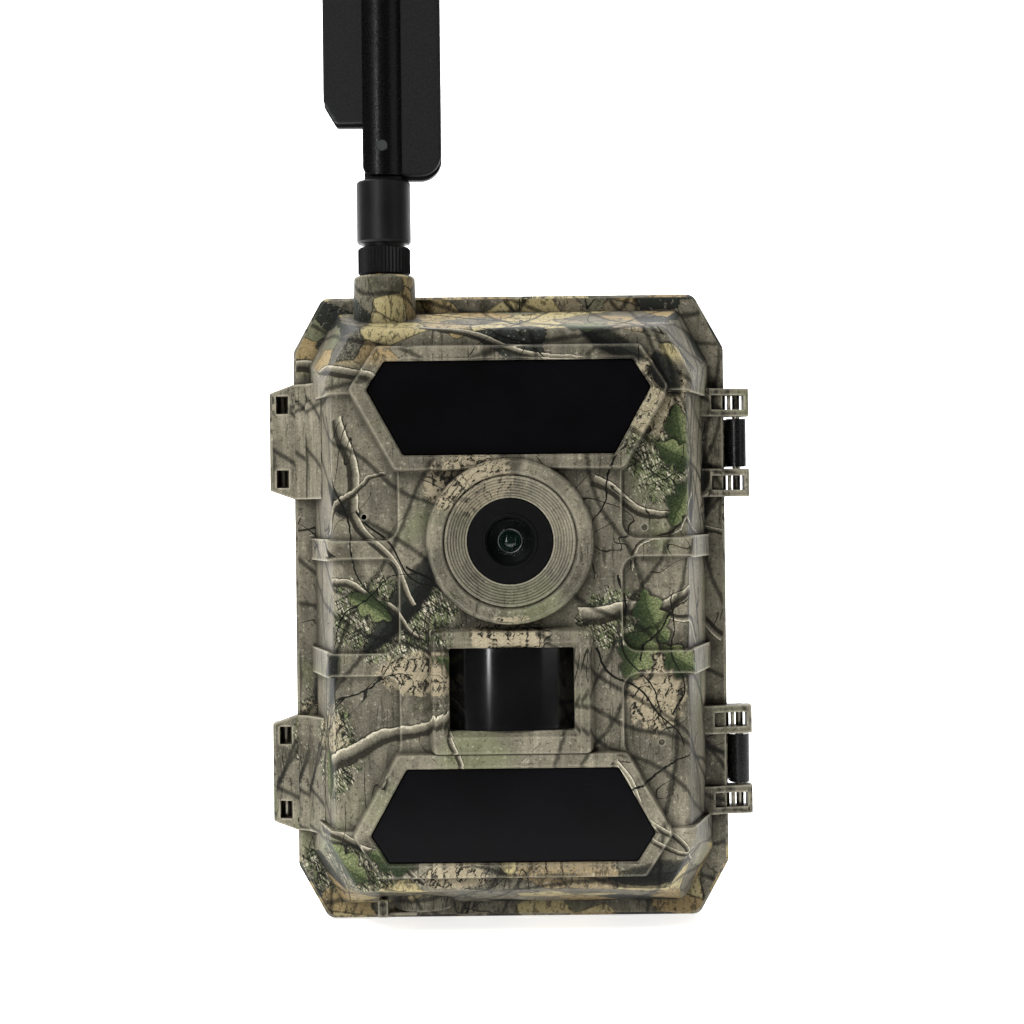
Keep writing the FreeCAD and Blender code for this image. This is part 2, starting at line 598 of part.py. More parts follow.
def board_parts():
    """What stands on the rear of the main board: radio shield, processor, memory, capacitors and sockets."""
    y = BOARD_Y + BOARD_T
    blocks = [
        (-30, -6, 1.8, 100, 124), (2, 16, 1.2, 96, 110), (19, 29, 1.2, 98, 108), (-28, -14, 2.4, 22, 34),
        (4, 12, 2.0, 24, 32), (24, 32, 2.2, 60, 66),
    ]
    made = [box(x0, x1, y, y + tall, z0, z1) for x0, x1, tall, z0, z1 in blocks]
    made += [rod(2.4, (x, y, 88), (x, y + 3.0, 88)) for x in (-28, -22, 22, 28)]
    return group(made)


def console_outline(grow=0.0):
    low, top = CONSOLE_LOW, CONSOLE_TOP
    outline = [
        (-CONSOLE_HALF + 4, low, 1.5), (CONSOLE_HALF - 4, low, 1.5), (CONSOLE_HALF, low + 4, 1.5),
        (CONSOLE_HALF, top - 6, 2.5), (CONSOLE_HALF - 5, top, 2.5), (-CONSOLE_HALF + 5, top, 2.5),
        (-CONSOLE_HALF, top - 6, 2.5), (-CONSOLE_HALF, low + 4, 1.5),
    ]
    return offset(outline, grow)


KEYS = {
    "key_up": (0.0, KEY_Z + KEY_PITCH, 4.0, 2.6),
    "key_down": (0.0, KEY_Z - KEY_PITCH, 4.0, 2.6),
    "key_left": (-KEY_PITCH - 1.0, KEY_Z, 2.8, 4.0),
    "key_right": (KEY_PITCH + 1.0, KEY_Z, 2.8, 4.0),
    "key_ok": (0.0, KEY_Z, 4.2, 4.2),
    "key_menu": (-23.0, KEY_Z, 4.4, 3.0),
}
SWITCH_X, SWITCH_Z, SWITCH_HALF, SWITCH_SLOT = 23.0, KEY_Z - 4.0, 2.6, 6.8
SPEAKER_X, SPEAKER_Z = -8.5, 30.0


def key_outline(name, grow=0.0):
    x, z, half_x, half_z = KEYS[name]
    radius = min(half_x, half_z) - 0.02 if name == "key_ok" else 1.2
    return offset(rectangle(x, z, half_x, half_z, radius), 0) if not grow else rectangle(
        x, z, half_x + grow, half_z + grow, radius + grow
    )


def inner_panel():
    """Black inside face of the cover: a deck with a skirt, a raised console for screen and keys, and card slots."""
    foot = body_outline(7.3, 0.72)
    deck = prism(foot, DECK_Y - 2.2, DECK_Y)
    deck = deck.makeChamfer(0.6, edges_in_plane(deck, DECK_Y))
    skirt = prism(offset(foot, -0.8), SPLIT_Y - 3.0, DECK_Y - 2.0).cut(prism(offset(foot, -2.4), SPLIT_Y - 4, DECK_Y))
    hood = frustum(console_outline(), DECK_Y - 0.5, console_outline(-1.6), CONSOLE_Y)
    hood = hood.makeFillet(0.6, edges_in_plane(hood, CONSOLE_Y))
    hollow = prism(console_outline(-3.4), SPLIT_Y - 0.2, CONSOLE_Y - 1.8)
    panel = joined([deck, skirt, hood]).cut(hollow)
    edge = CONSOLE_HALF + 2
    card_y, sim_y = CARD_Y0 - 0.3, SIM_Y0 - 0.25
    cuts = [
        box(CONSOLE_HALF - 4, edge, card_y, card_y + CARD_T + 0.6, CARD_Z - 12.3, CARD_Z + 12.3),
        box(-edge, 4 - CONSOLE_HALF, sim_y, sim_y + SIM_T + 0.5, SIM_Z - 6.3, SIM_Z + 6.3),
        box(CONSOLE_HALF - 1.9, edge, DECK_Y + 0.01, card_y + CARD_T + 1.2, CARD_Z - 6, CARD_Z + 6),
        box(-edge, 1.9 - CONSOLE_HALF, DECK_Y + 0.01, sim_y + SIM_T + 1.6, SIM_Z - 4, SIM_Z + 4),
    ]
    cuts += [prism(rectangle(0, SCREEN_Z, SCREEN_HALF_X, SCREEN_HALF_Z, 1.5), CONSOLE_Y - 1.0, CONSOLE_Y + 1)]
    cuts.append(prism(rectangle(0, SCREEN_Z, SCREEN_HALF_X - 1.5, SCREEN_HALF_Z - 1.5, 1), CONSOLE_Y - 3, CONSOLE_Y))
    cuts += [prism(key_outline(name, KEY_ROOM), CONSOLE_Y - 3, CONSOLE_Y + 1) for name in KEYS]
    slot = rectangle(SWITCH_X, SWITCH_Z, 2.0, SWITCH_SLOT, 0.8)
    cuts.append(prism(slot, CONSOLE_Y - 3, CONSOLE_Y + 1))
    cuts.append(prism(offset(slot, 1.6), CONSOLE_Y - 0.5, CONSOLE_Y + 1))
    for ring, count in ((0, 1), (2.4, 6), (4.8, 12)):
        for k in range(count):
            a = 2 * math.pi * k / count
            x, z = SPEAKER_X + ring * math.cos(a), SPEAKER_Z + ring * math.sin(a)
            cuts.append(rod(0.6, (x, CONSOLE_Y - 4, z), (x, CONSOLE_Y + 1, z)))
    for x, z in PANEL_SCREWS:
        for sign in (-1, 1):
            cuts.append(rod(1.5, (sign * x, SPLIT_Y - 5, z), (sign * x, DECK_Y + 1, z)))
            cuts.append(rod(3.3, (sign * x, SPLIT_Y - 5, z), (sign * x, SPLIT_Y + 0.02, z)))
            cuts.append(rod(2.9, (sign * x, DECK_Y - 0.8, z), (sign * x, DECK_Y + 1, z)))
    return panel.cut(group(cuts)).removeSplitter()


def panel_screws():
    """Six pan-head screws with cross recesses that hold the inner panel to the cover's posts."""
    made = []
    for x, z in PANEL_SCREWS:
        for sign in (-1, 1):
            made.append(screw(sign * x, DECK_Y - 0.8, z, 2.6, 1.3, 1.1, SPLIT_Y - 8))
    return group(made)


def screw(x, seat_y, z, head_r, head_h, shank_r, tip_y):
    """Screw whose head faces the rear: domed head, cross recess, plain shank."""
    crown = seat_y + head_h
    profile = [(0, crown), (head_r * 0.7, crown), (head_r, crown - 0.45), (head_r, seat_y), (shank_r, seat_y)]
    solid = turned(profile + [(shank_r, tip_y + 0.6), (0, tip_y)], x, z)
    cross = [
        box(x - 0.3, x + 0.3, crown - 0.8, crown + 1, z - head_r * 0.62, z + head_r * 0.62),
        box(x - head_r * 0.62, x + head_r * 0.62, crown - 0.8, crown + 1, z - 0.3, z + 0.3),
    ]
    return solid.cut(group(cross))


def display_module():
    """Colour screen in its metal tray, with the flat tail that goes to the main board."""
    tray = box(-22.2, 22.2, CONSOLE_Y - 4.6, CONSOLE_Y - 1.85, SCREEN_Z - 16.8, SCREEN_Z + 16.8)
    tail = box(-8, 8, BOARD_Y + BOARD_T + 3.2, CONSOLE_Y - 4.6, SCREEN_Z - 16.6, SCREEN_Z - 16.3)
    return joined([tray, tail])


def display_glass():
    pane = prism(rectangle(0, SCREEN_Z, SCREEN_HALF_X - 0.1, SCREEN_HALF_Z - 0.1, 1.4), CONSOLE_Y - 1.0, CONSOLE_Y - 0.1)
    return pane.makeChamfer(0.15, edges_in_plane(pane, CONSOLE_Y - 0.1))


def key(name):
    """One key: a cap that stands through the console and a lip that keeps it in."""
    cap = prism(key_outline(name), CONSOLE_Y - 2.4, CONSOLE_Y + KEY_PROUD)
    cap = cap.makeFillet(0.4, edges_in_plane(cap, CONSOLE_Y + KEY_PROUD))
    lip = prism(key_outline(name, 0.9), CONSOLE_Y - 2.6, CONSOLE_Y - 1.85)
    return joined([cap, lip])


def power_switch():
    """Sliding switch knob with three grip ridges."""
    knob = box(SWITCH_X - 1.8, SWITCH_X + 1.8, CONSOLE_Y - 2.6, CONSOLE_Y + 1.1,
               SWITCH_Z - SWITCH_SLOT + 0.2, SWITCH_Z - SWITCH_SLOT + 0.2 + 2 * SWITCH_HALF)
    grooves = []
    for k in (-1, 0, 1):
        z = SWITCH_Z - SWITCH_SLOT + 0.2 + SWITCH_HALF + k * 1.4
        grooves.append(box(SWITCH_X - 3, SWITCH_X + 3, CONSOLE_Y + 0.6, CONSOLE_Y + 2, z - 0.3, z + 0.3))
    shoe = box(SWITCH_X - 3.0, SWITCH_X + 3.0, CONSOLE_Y - 2.9, CONSOLE_Y - 1.9,
               SWITCH_Z - SWITCH_SLOT + 0.2, SWITCH_Z - SWITCH_SLOT + 0.2 + 2 * SWITCH_HALF)
    return joined([knob.cut(group(grooves)), shoe])


CARD_Y0 = DECK_Y + 0.6
SIM_Y0 = DECK_Y + 1.2


def memory_card():
    """Full-size memory card with its clipped corner, pushed sideways into the console."""
    x1 = CONSOLE_HALF + CARD_PROUD
    x0, z0, z1 = x1 - CARD_LENGTH, CARD_Z - CARD_WIDTH / 2, CARD_Z + CARD_WIDTH / 2
    outline = [(x0 + 4, z0, 0), (x1, z0, 1.0), (x1, z1, 1.0), (x0, z1, 1.0), (x0, z0 + 4, 0)]
    card = prism(outline, CARD_Y0, CARD_Y0 + CARD_T)
    return card.cut(box(x1 - 1.6, x1 - 1.0, CARD_Y0 + CARD_T - 0.3, CARD_Y0 + CARD_T + 1, z0 + 3, z1 - 3))


def card_socket():
    """Pressed metal shell of the card reader, inside the console."""
    x0, x1 = CONSOLE_HALF + CARD_PROUD - CARD_LENGTH - 1.2, CONSOLE_HALF - 4.2
    z0, z1 = CARD_Z - CARD_WIDTH / 2 - 0.7, CARD_Z + CARD_WIDTH / 2 + 0.7
    shell = box(x0, x1, DECK_Y + 0.05, CARD_Y0 + CARD_T + 0.45, z0, z1)
    return shell.cut(box(x0 + 0.5, x1 + 1, CARD_Y0 - 0.1, CARD_Y0 + CARD_T + 0.1, z0 + 0.4, z1 - 0.4))


def sim_card():
    """Small subscriber card, half seen at the console's other side."""
    x0 = -CONSOLE_HALF - CARD_PROUD + 1
    z0, z1 = SIM_Z - SIM_WIDTH / 2, SIM_Z + SIM_WIDTH / 2
    x1 = x0 + SIM_LENGTH
    return prism([(x0, z0, 0.8), (x1 - 2.5, z0, 0), (x1, z0 + 2.5, 0), (x1, z1, 0.8), (x0, z1, 0.8)], SIM_Y0, SIM_Y0 + SIM_T)


def sim_socket():
    x0, x1 = 4.2 - CONSOLE_HALF, 1.4 - CONSOLE_HALF - CARD_PROUD + SIM_LENGTH
    z0, z1 = SIM_Z - SIM_WIDTH / 2 - 0.8, SIM_Z + SIM_WIDTH / 2 + 0.8
    shell = box(x0, x1 + 0.5, DECK_Y + 0.6, SIM_Y0 + SIM_T + 0.6, z0, z1)
    return shell.cut(box(x0 - 1, x1, SIM_Y0 - 0.1, SIM_Y0 + SIM_T + 0.1, z0 + 0.5, z1 - 0.5))


def speaker():
    """Round speaker behind the grille."""
    y = CONSOLE_Y - 1.85
    return turned(
        [(0, y - 3.3), (5.5, y - 3.3), (5.5, y - 1.9), (7.2, y - 1.9), (7.2, y), (6.4, y), (5.0, y - 0.8), (0, y - 0.8)],
        SPEAKER_X,
        SPEAKER_Z,
    )


def dc_jack():
    """External power socket in the bottom boss, opening downwards, with its centre pin."""
    z = PLUG_Z
    shell = spun([(2.75, z + 3.5), (4.1, z + 3.5), (4.1, z + 9.6), (0, z + 9.6), (0, z + 8.6), (2.75, z + 8.6)],
                 PLUG_X, ANT_Y)
    return joined([shell, rod(1.0, (PLUG_X, ANT_Y, z + 5.1), (PLUG_X, ANT_Y, z + 9.1))])


def port_plug():
    """Rubber plug that closes the power socket, with a stem, a sealing rib and a pull tab turned up at its side."""
    steps = [(1.15, 7.1), (2.6, 7.1), (2.7, 6.7), (2.6, 6.3), (2.6, 3.4), (4.0, 3.4), (4.0, 1.5), (4.1, 1.2)]
    steps += [(4.0, 0.9), (4.0, -0.1), (3.6, -0.5), (0, -0.5), (0, 3.7), (1.15, 3.7)]
    stem = spun([(r, PLUG_Z + z) for r, z in steps], PLUG_X, ANT_Y)
    left, top = PLUG_X - BOSS_R - 2.7, PLUG_Z + 3.3
    strap = box(left, PLUG_X - 1.0, ANT_Y - 6.2, ANT_Y - 1.2, PLUG_Z - 0.75, PLUG_Z - 0.1)
    ear = box(left, left + 2.3, ANT_Y - 8.6, ANT_Y - 4.4, PLUG_Z - 0.75, top)
    ear = ear.makeFillet(0.6, [e for e in ear.Edges if abs(e.CenterOfMass.z - top) < 0.01])
    return joined([stem, strap, ear])


def coax_lead():
    """Thin aerial lead inside the cover, from the socket's tail down to the radio shield."""
    points = [V(ANT_X, ANT_Y, 136.05), V(ANT_X, ANT_Y, 131), V(ANT_X + 2.5, ANT_Y - 1.5, 127.5),
              V(ANT_X + 8.0, ANT_Y - 1.5, 124.5), V(ANT_X + 10.6, ANT_Y - 0.8, 118.0), V(ANT_X + 10.6, ANT_Y - 0.8, 110)]
    return bent_tube(points, 0.7, 2.2)


def bent_tube(points, radius, bend):
    """Round tube along straight runs joined by tangent arcs of one bend radius."""
    edges, last = [], points[0]
    for before, here, after in zip(points, points[1:], points[2:]):
        back, ahead = (before - here).normalize(), (after - here).normalize()
        half = back.getAngle(ahead) / 2
        reach = min(bend / math.tan(half), 0.45 * min((before - here).Length, (after - here).Length))
        size = reach * math.tan(half)
        start, end = here + back * reach, here + ahead * reach
        centre = here + (back + ahead).normalize() * (size / math.sin(half))
        edges.append(Part.makeLine(last, start))
        edges.append(Part.Arc(start, centre + (here - centre).normalize() * size, end).toShape())
        last = end
    edges.append(Part.makeLine(last, points[-1]))
    path = Part.Wire(edges)
    ring = Part.Wire(Part.makeCircle(radius, points[0], points[1] - points[0]))
    return path.makePipeShell([ring], True, False)


def power_pins():
    """Three sprung brass pins on the battery tray that reach the cover's pads when the camera is shut."""
    return group([
        joined([
            rod(POWER_PIN_R, (x, DECK_Y + 0.32, POWER_Z), (x, -12.0, POWER_Z)),
            rod(POWER_PIN_R + 0.35, (x, -12.5, POWER_Z), (x, POWER_BLOCK_Y + 1.5, POWER_Z)),
        ])
        for x in POWER_PINS
    ])


def power_pads():
    """Three plated pads on the inner panel."""
    return group([box(x - 1.0, x + 1.0, DECK_Y, DECK_Y + 0.25, POWER_Z - 2.6, POWER_Z + 2.6) for x in POWER_PINS])


# ---- Latches and hinge pins --------------------------------------------------------------------------------------
def latch(centre):
    """Black snap lever: a barrel on the pin, a flat arm along the side, a hook behind the rear flange, a lifted tip."""
    low, top = centre - LEVER_HALF, centre + LEVER_HALF
    barrel = rod(BARREL_R, (LATCH_X, LATCH_Y, low), (LATCH_X, LATCH_Y, top))
    arm = plan(
        [
            (51.9, LATCH_Y), (51.75, LATCH_Y + 2.0), (51.75, -15.6), (49.4, -15.85), (49.4, -14.6), (50.4, -13.3),
            (51.75, -12.6), (52.2, -9.0), (54.4, -5.4), (56.0, -5.0), (56.9, -5.8), (55.2, -9.4), (54.7, -13.0),
            (55.4, -17.0), (56.3, -20.0), (56.5, LATCH_Y),
        ],
        low,
        top,
    )
    grips = [
        rod(0.35, (56.9 - 0.35 * k, -6.6 - 0.95 * k, low - 1), (56.9 - 0.35 * k, -6.6 - 0.95 * k, top + 1))
        for k in range(4)
    ]
    bore = rod(LATCH_PIN_R + RUNNING, (LATCH_X, LATCH_Y, low - 1), (LATCH_X, LATCH_Y, top + 1))
    return joined([barrel, arm]).cut(bore).cut(group(grips))


def latch_pins():
    return group([
        rod(LATCH_PIN_R, (LATCH_X, LATCH_Y, z - LATCH_HALF + 0.3), (LATCH_X, LATCH_Y, z + LATCH_HALF - 0.3))
        for z in LATCH_CENTRES
    ])


def hinge_pins():
    return group([
        rod(HINGE_PIN_R, (HINGE_X, HINGE_Y, z - HINGE_HALF + 2.2), (HINGE_X, HINGE_Y, z + HINGE_HALF - 2.2))
        for z in HINGE_CENTRES
    ])


# ---- Rear housing ------------------------------------------------------------------------------------------------
def back_housing():
    """The moulded rear half: flange with seal groove, drafted walls, foot for the tripod thread, middle knuckles."""
    wall_foot, wall_rear = body_outline(BACK_INSET_FRONT, 0.97), body_outline(BACK_INSET_REAR, 0.95)
    shell = frustum(wall_foot, FLANGE_BACK - 0.5, wall_rear, BACK_Y)
    shell = shell.makeFillet(2.4, edges_in_plane(shell, BACK_Y))
    flange = prism(body_outline(0), SPLIT_Y, FLANGE_BACK)
    flange = flange.makeChamfer(0.7, edges_in_plane(flange, FLANGE_BACK))
    foot = box(-FOOT_HALF_X, FOOT_HALF_X, FLANGE_BACK - 1, BACK_Y - 2.2, 0, 6)
    foot = foot.makeFillet(1.5, [e for e in foot.Edges if abs(e.CenterOfMass.x) > FOOT_HALF_X - 0.1])
    parts = [shell, flange, foot]
    for centre in HINGE_CENTRES:
        low, top = centre - KNUCKLE_GAP_HALF, centre + KNUCKLE_GAP_HALF
        parts.append(rod(KNUCKLE_R, (HINGE_X, HINGE_Y, low), (HINGE_X, HINGE_Y, top)))
        parts.append(plan([(HINGE_X, SPLIT_Y + 0.2), (HINGE_X, SPLIT_Y + 2.7), (-49.5, SPLIT_Y + 8.5), (-47.5, SPLIT_Y + 8.5),
                           (-47.5, SPLIT_Y + 0.2)], low, top))
    shell = joined(parts).cut(back_cavity())
    keeps = []
    for x in (-40.0, 40.0):
        for z in (11.0, 137.0):
            keeps.append(rod(2.2, (x * 0.9, 4, z), (x * 0.9, BACK_Y - WALL + 0.2, z)))
    insert_boss = rod(6.4, (0, 0, 4), (0, 0, 10.5)).fuse(box(-6.4, 6.4, 0, BACK_Y - WALL + 0.2, 4, 10.5))
    solid = joined([shell, insert_boss] + keeps)
    groove = prism(body_outline(3.2), SPLIT_Y - 1, SPLIT_Y + 2.6).cut(prism(body_outline(4.8), SPLIT_Y - 2, SPLIT_Y + 3))
    cuts = [groove, rod(INSERT_R, (0, 0, -1), (0, 0, THREAD_DEPTH))]
    cuts += [rod(1.0, (s * 36.0, 3, z), (s * 36.0, 10, z)) for s in (-1, 1) for z in (11.0, 137.0)]
    for centre in HINGE_CENTRES:
        cuts.append(rod(HINGE_PIN_R, (HINGE_X, HINGE_Y, centre - 20), (HINGE_X, HINGE_Y, centre + 20)))
    for x, z in BRACKET_SCREWS:
        cuts.append(rod(1.3, (x, BACK_Y - 2.0, z), (x, BACK_Y + 1, z)))
    return solid.cut(group(cuts)).removeSplitter()


def housing_gasket():
    """Silicone seal in the rear flange's groove, pressed by the cover's tongue."""
    ring = prism(body_outline(3.35), SPLIT_Y + 0.82, SPLIT_Y + 2.55)
    return ring.cut(prism(body_outline(4.65), SPLIT_Y, SPLIT_Y + 3))


def tripod_insert():
    """Brass insert pressed into the foot, shown with a plain bore at the thread's minor diameter."""
    return rod(INSERT_R, (0, 0, 0), (0, 0, THREAD_DEPTH)).cut(rod(THREAD_R, (0, 0, -1), (0, 0, THREAD_DEPTH + 1)))


BRACKET_SCREWS = ((-26.0, 92.0), (26.0, 92.0), (-26.0, 56.0), (26.0, 56.0))


def tree_bracket():
    """Moulded rear bracket: two toothed saddles that bear on the tree, strap passages under them, a lug for a cable lock."""
    plate = prism(rectangle(0, 74, SADDLE_HALF_X, 57.5, 5), BACK_Y, BACK_Y + 2.4)
    plate = plate.makeChamfer(0.8, edges_in_plane(plate, BACK_Y + 2.4))
    parts, cuts = [plate], []
    rear = BACK_Y + 2.4 + SADDLE_DEPTH
    for centre in SADDLE_CENTRES:
        low, top = centre - STRAP_WIDTH / 2 - 2.6, centre + STRAP_WIDTH / 2 + 2.6
        saddle = plan(
            [(-SADDLE_HALF_X, BACK_Y + 1), (SADDLE_HALF_X, BACK_Y + 1), (SADDLE_HALF_X, rear - 1.5),
             (SADDLE_HALF_X - 2, rear), (16, rear - 1.0), (7, rear - 4.6), (-7, rear - 4.6), (-16, rear - 1.0),
             (-SADDLE_HALF_X + 2, rear), (-SADDLE_HALF_X, rear - 1.5)],
            low, top,
        )
        parts.append(saddle)
        cuts.append(box(-40, 40, BACK_Y + 2.4, BACK_Y + 2.4 + STRAP_GAP, centre - STRAP_WIDTH / 2, centre + STRAP_WIDTH / 2))
        for k in range(9):
            z = low + 2.4 + k * (top - low - 4.8) / 8
            cuts.append(side([(rear + 1, z - 1.3), (rear - 1.6, z), (rear + 1, z + 1.3)], -40, 40))
    lug = side([(BACK_Y + 1, 64), (rear - 4, 66.5), (rear - 2, 70), (rear - 2, 78), (rear - 4, 81.5), (BACK_Y + 1, 84)], -13, 13)
    cuts.append(rod(LOCK_HOLE_R, (-20, BACK_Y + 7.2, 74), (20, BACK_Y + 7.2, 74)))
    for x, z in BRACKET_SCREWS:
        cuts.append(rod(1.7, (x, BACK_Y - 1, z), (x, BACK_Y + 5, z)))
    return joined(parts + [lug]).cut(group(cuts)).removeSplitter()


def bracket_screws():
    return group([screw(x, BACK_Y + 2.42, z, 3.0, 1.6, 1.28, BACK_Y - 1.9) for x, z in BRACKET_SCREWS])


# ---- Batteries ---------------------------------------------------------------------------------------------------
def cell_columns():
    return [(k - (CELL_COLUMNS - 1) / 2) * CELL_PITCH for k in range(CELL_COLUMNS)]


POWER_BLOCK_Y = -11.5        # front of the block that carries the power pins


def back_cavity(clear=0.0):
    """Inside of the rear housing, drawn in by clear."""
    front, rear = BACK_INSET_FRONT + WALL + 0.4, BACK_INSET_REAR + WALL
    return frustum(
        body_outline(front + clear, 0.85), SPLIT_Y - 0.1, body_outline(rear + clear, 0.85), BACK_Y - WALL - clear
    )


def battery_tray():
    """Open tray for twelve cells, two rows of six upright troughs, with the power pins' block at the hinge side."""
    block = box(-45.0, 45.0, -3.2, BACK_Y - WALL, ROW_STARTS[0] - 2.2, ROW_STARTS[1] + POCKET_LENGTH + 2.2)
    block = block.common(back_cavity(0.25))
    cuts = []
    for start in ROW_STARTS:
        for x in cell_columns():
            cuts.append(rod(CELL_R + 0.2, (x, CELL_Y, start), (x, CELL_Y, start + POCKET_LENGTH)))
            cuts.append(box(x - CELL_R - 0.2, x + CELL_R + 0.2, -4, CELL_Y, start, start + POCKET_LENGTH))
        cuts.append(box(-46, 46, -4, -0.6, start + 8, start + POCKET_LENGTH - 8))
    tops = ROW_STARTS[1] + POCKET_LENGTH + 2.2
    ears = [
        box(s * 36 - 4, s * 36 + 4, 1.0, 3.8, z0, z1)
        for s in (-1, 1)
        for z0, z1 in ((8.4, ROW_STARTS[0]), (tops - 2, 139.6))
    ]
    holes = [rod(1.4, (s * 36.0, -1, z), (s * 36.0, 6, z)) for s in (-1, 1) for z in (11.0, 137.0)]
    tray = joined([block] + ears).cut(group(cuts + holes))
    bar = box(-43.2, -34.0, POWER_BLOCK_Y, CELL_Y - CELL_R - 0.3, POWER_Z - 2.2, POWER_Z + 2.2)
    strut = box(-44.95, -43.0, POWER_BLOCK_Y, 0.0, POWER_Z - 5.0, POWER_Z + 5.0)
    sockets = [
        rod(POWER_PIN_R + 0.35, (x, POWER_BLOCK_Y - 1, POWER_Z), (x, POWER_BLOCK_Y + 1.5, POWER_Z)) for x in POWER_PINS
    ]
    return joined([tray, bar, strut.cut(cells_room())]).cut(group(sockets)).removeSplitter()


def cells_room():
    """Room for the cells of the hinge-side column."""
    x = cell_columns()[0]
    return rod(CELL_R + 0.2, (x, CELL_Y, ROW_STARTS[0]), (x, CELL_Y, ROW_STARTS[1] + POCKET_LENGTH))


def tray_screws():
    """Four screws through the tray's ears; their heads face the opening."""
    made = []
    for s in (-1, 1):
        for z in (11.0, 137.0):
            head = screw(s * 36.0, 0, z, 2.3, 1.3, 1.0, -6.0)
            made.append(head.mirror(V(0, 0.5, 0), ALONG_Y))
    return group(made)


def cell_up(column, row):
    """True where a cell stands with its button end up: neighbours alternate."""
    return (column + row) % 2 == 0


def each_cell():
    """(x, pocket start, button end up) for all twelve cells."""
    for row, start in enumerate(ROW_STARTS):
        for column, x in enumerate(cell_columns()):
            yield x, start, cell_up(column, row)


def stack_heights(start, up):
    """Where the parts of one pocket start, from the spring's plate to the far plate."""
    spring = start + PLATE_T if up else start + POCKET_LENGTH - PLATE_T
    way = 1 if up else -1
    return spring, spring + way * (SPRING_LENGTH + 0.1), way


def battery_cells():
    cells = []
    for x, start, up in each_cell():
        _, base, way = stack_heights(start, up)
        end, tip = base + way * CELL_LENGTH, base + way * (CELL_LENGTH + NUB_LENGTH)
        inset = way * 0.5
        can = spun([(0, base), (CELL_R - 0.5, base), (CELL_R, base + inset), (CELL_R, end - inset),
                    (CELL_R - 0.5, end), (NUB_R, end), (NUB_R, tip), (0, tip)], x, CELL_Y)
        cells.append(can)
    return group(cells)


def cell_springs():
    """Cone springs under the flat ends, shown as plain cones."""
    cones = []
    for x, start, up in each_cell():
        foot, _, way = stack_heights(start, up)
        tall = way * SPRING_LENGTH
        cones.append(spun([(0, foot), (3.6, foot), (2.0, foot + tall), (0, foot + tall)], x, CELL_Y))
    return group(cones)


def cell_contacts():
    """Plated contact strips at both ends of each trough."""
    plates = []
    for x, start, up in each_cell():
        for z in (start, start + POCKET_LENGTH - PLATE_T):
            plates.append(box(x - 4.6, x + 4.6, -2.4, CELL_Y + 5.2, z, z + PLATE_T))
    return group(plates)


# ---- Antenna -----------------------------------------------------------------------------------------------------
def antenna_jack():
    """Brass coaxial socket held in the boss: threaded neck above, hex flange and tail below."""
    neck = rod(3.1, (ANT_X, ANT_Y, BOSS_TOP - 16), (ANT_X, ANT_Y, NUT_TOP - 3.0))
    washer = rod(4.6, (ANT_X, ANT_Y, BOSS_TOP + 0.02), (ANT_X, ANT_Y, NUT_Z - 0.05))
    return joined([neck, washer]).cut(rod(1.6, (ANT_X, ANT_Y, BOSS_TOP + 1), (ANT_X, ANT_Y, NUT_TOP)))


KNURLS = 44


def antenna_nut():
    """Knurled nut that clamps the antenna to its socket."""
    rim = []
    for k in range(2 * KNURLS):
        radius, angle = (NUT_R if k % 2 else NUT_R - 0.32), math.pi * k / KNURLS
        rim.append((ANT_X + radius * math.cos(angle), ANT_Y + radius * math.sin(angle)))
    knurled = plan(rim, NUT_Z, NUT_TOP)
    rounded = spun([(0, NUT_Z), (NUT_R - 0.4, NUT_Z), (NUT_R, NUT_Z + 0.4), (NUT_R, NUT_TOP - 0.5),
                    (NUT_R - 0.5, NUT_TOP), (0, NUT_TOP)], ANT_X, ANT_Y)
    bore = rod(3.1 + RUNNING, (ANT_X, ANT_Y, NUT_Z - 1), (ANT_X, ANT_Y, NUT_TOP + 1))
    seat = rod(4.8 + RUNNING, (ANT_X, ANT_Y, NUT_TOP - 2.8), (ANT_X, ANT_Y, NUT_TOP + 1))
    return knurled.common(rounded).cut(bore.fuse(seat))


def antenna_collar():
    """Swivelling base: spigot in the nut, round collar, and the tongue that the blade folds on."""
    body = spun(
        [(0, NUT_TOP - 2.7), (4.8, NUT_TOP - 2.7), (4.8, COLLAR_Z), (COLLAR_R - 0.4, COLLAR_Z),
         (COLLAR_R, COLLAR_Z + 0.5), (COLLAR_R, COLLAR_TOP - 0.4), (COLLAR_R - 0.4, COLLAR_TOP), (0, COLLAR_TOP)],
        ANT_X, ANT_Y,
    )
    neck = box(ANT_X - 4.3, ANT_X + 4.3, ANT_Y - TONGUE_HALF, ANT_Y + TONGUE_HALF, COLLAR_TOP - 1, PIVOT_Z)
    eye = rod(4.3, (ANT_X, ANT_Y - TONGUE_HALF, PIVOT_Z), (ANT_X, ANT_Y + TONGUE_HALF, PIVOT_Z))
    bore = rod(PIVOT_R + RUNNING, (ANT_X, ANT_Y - 9, PIVOT_Z), (ANT_X, ANT_Y + 9, PIVOT_Z))
    return joined([body, neck, eye]).cut(bore)


def blade_outline(way):
    """One half of the blade seen from the front: notched low on the left so that it can fold over the collar."""
    low, wing = (-6.8, 5.8) if way < 0 else (-7.6, 5.0)
    points = [
        (-SPINE_W, low, 2.8), (BLADE_HALF, low, 5.0),
        (BLADE_HALF, BLADE_TOP - PIVOT_Z, 5.0), (-BLADE_HALF, BLADE_TOP - PIVOT_Z, 5.0), (-BLADE_HALF, wing + 4.9, 1.0),
        (-10.8, wing, 1.0), (-SPINE_W, wing, 0),
    ]
    return [(ANT_X + x, PIVOT_Z + z, r) for x, z, r in points]


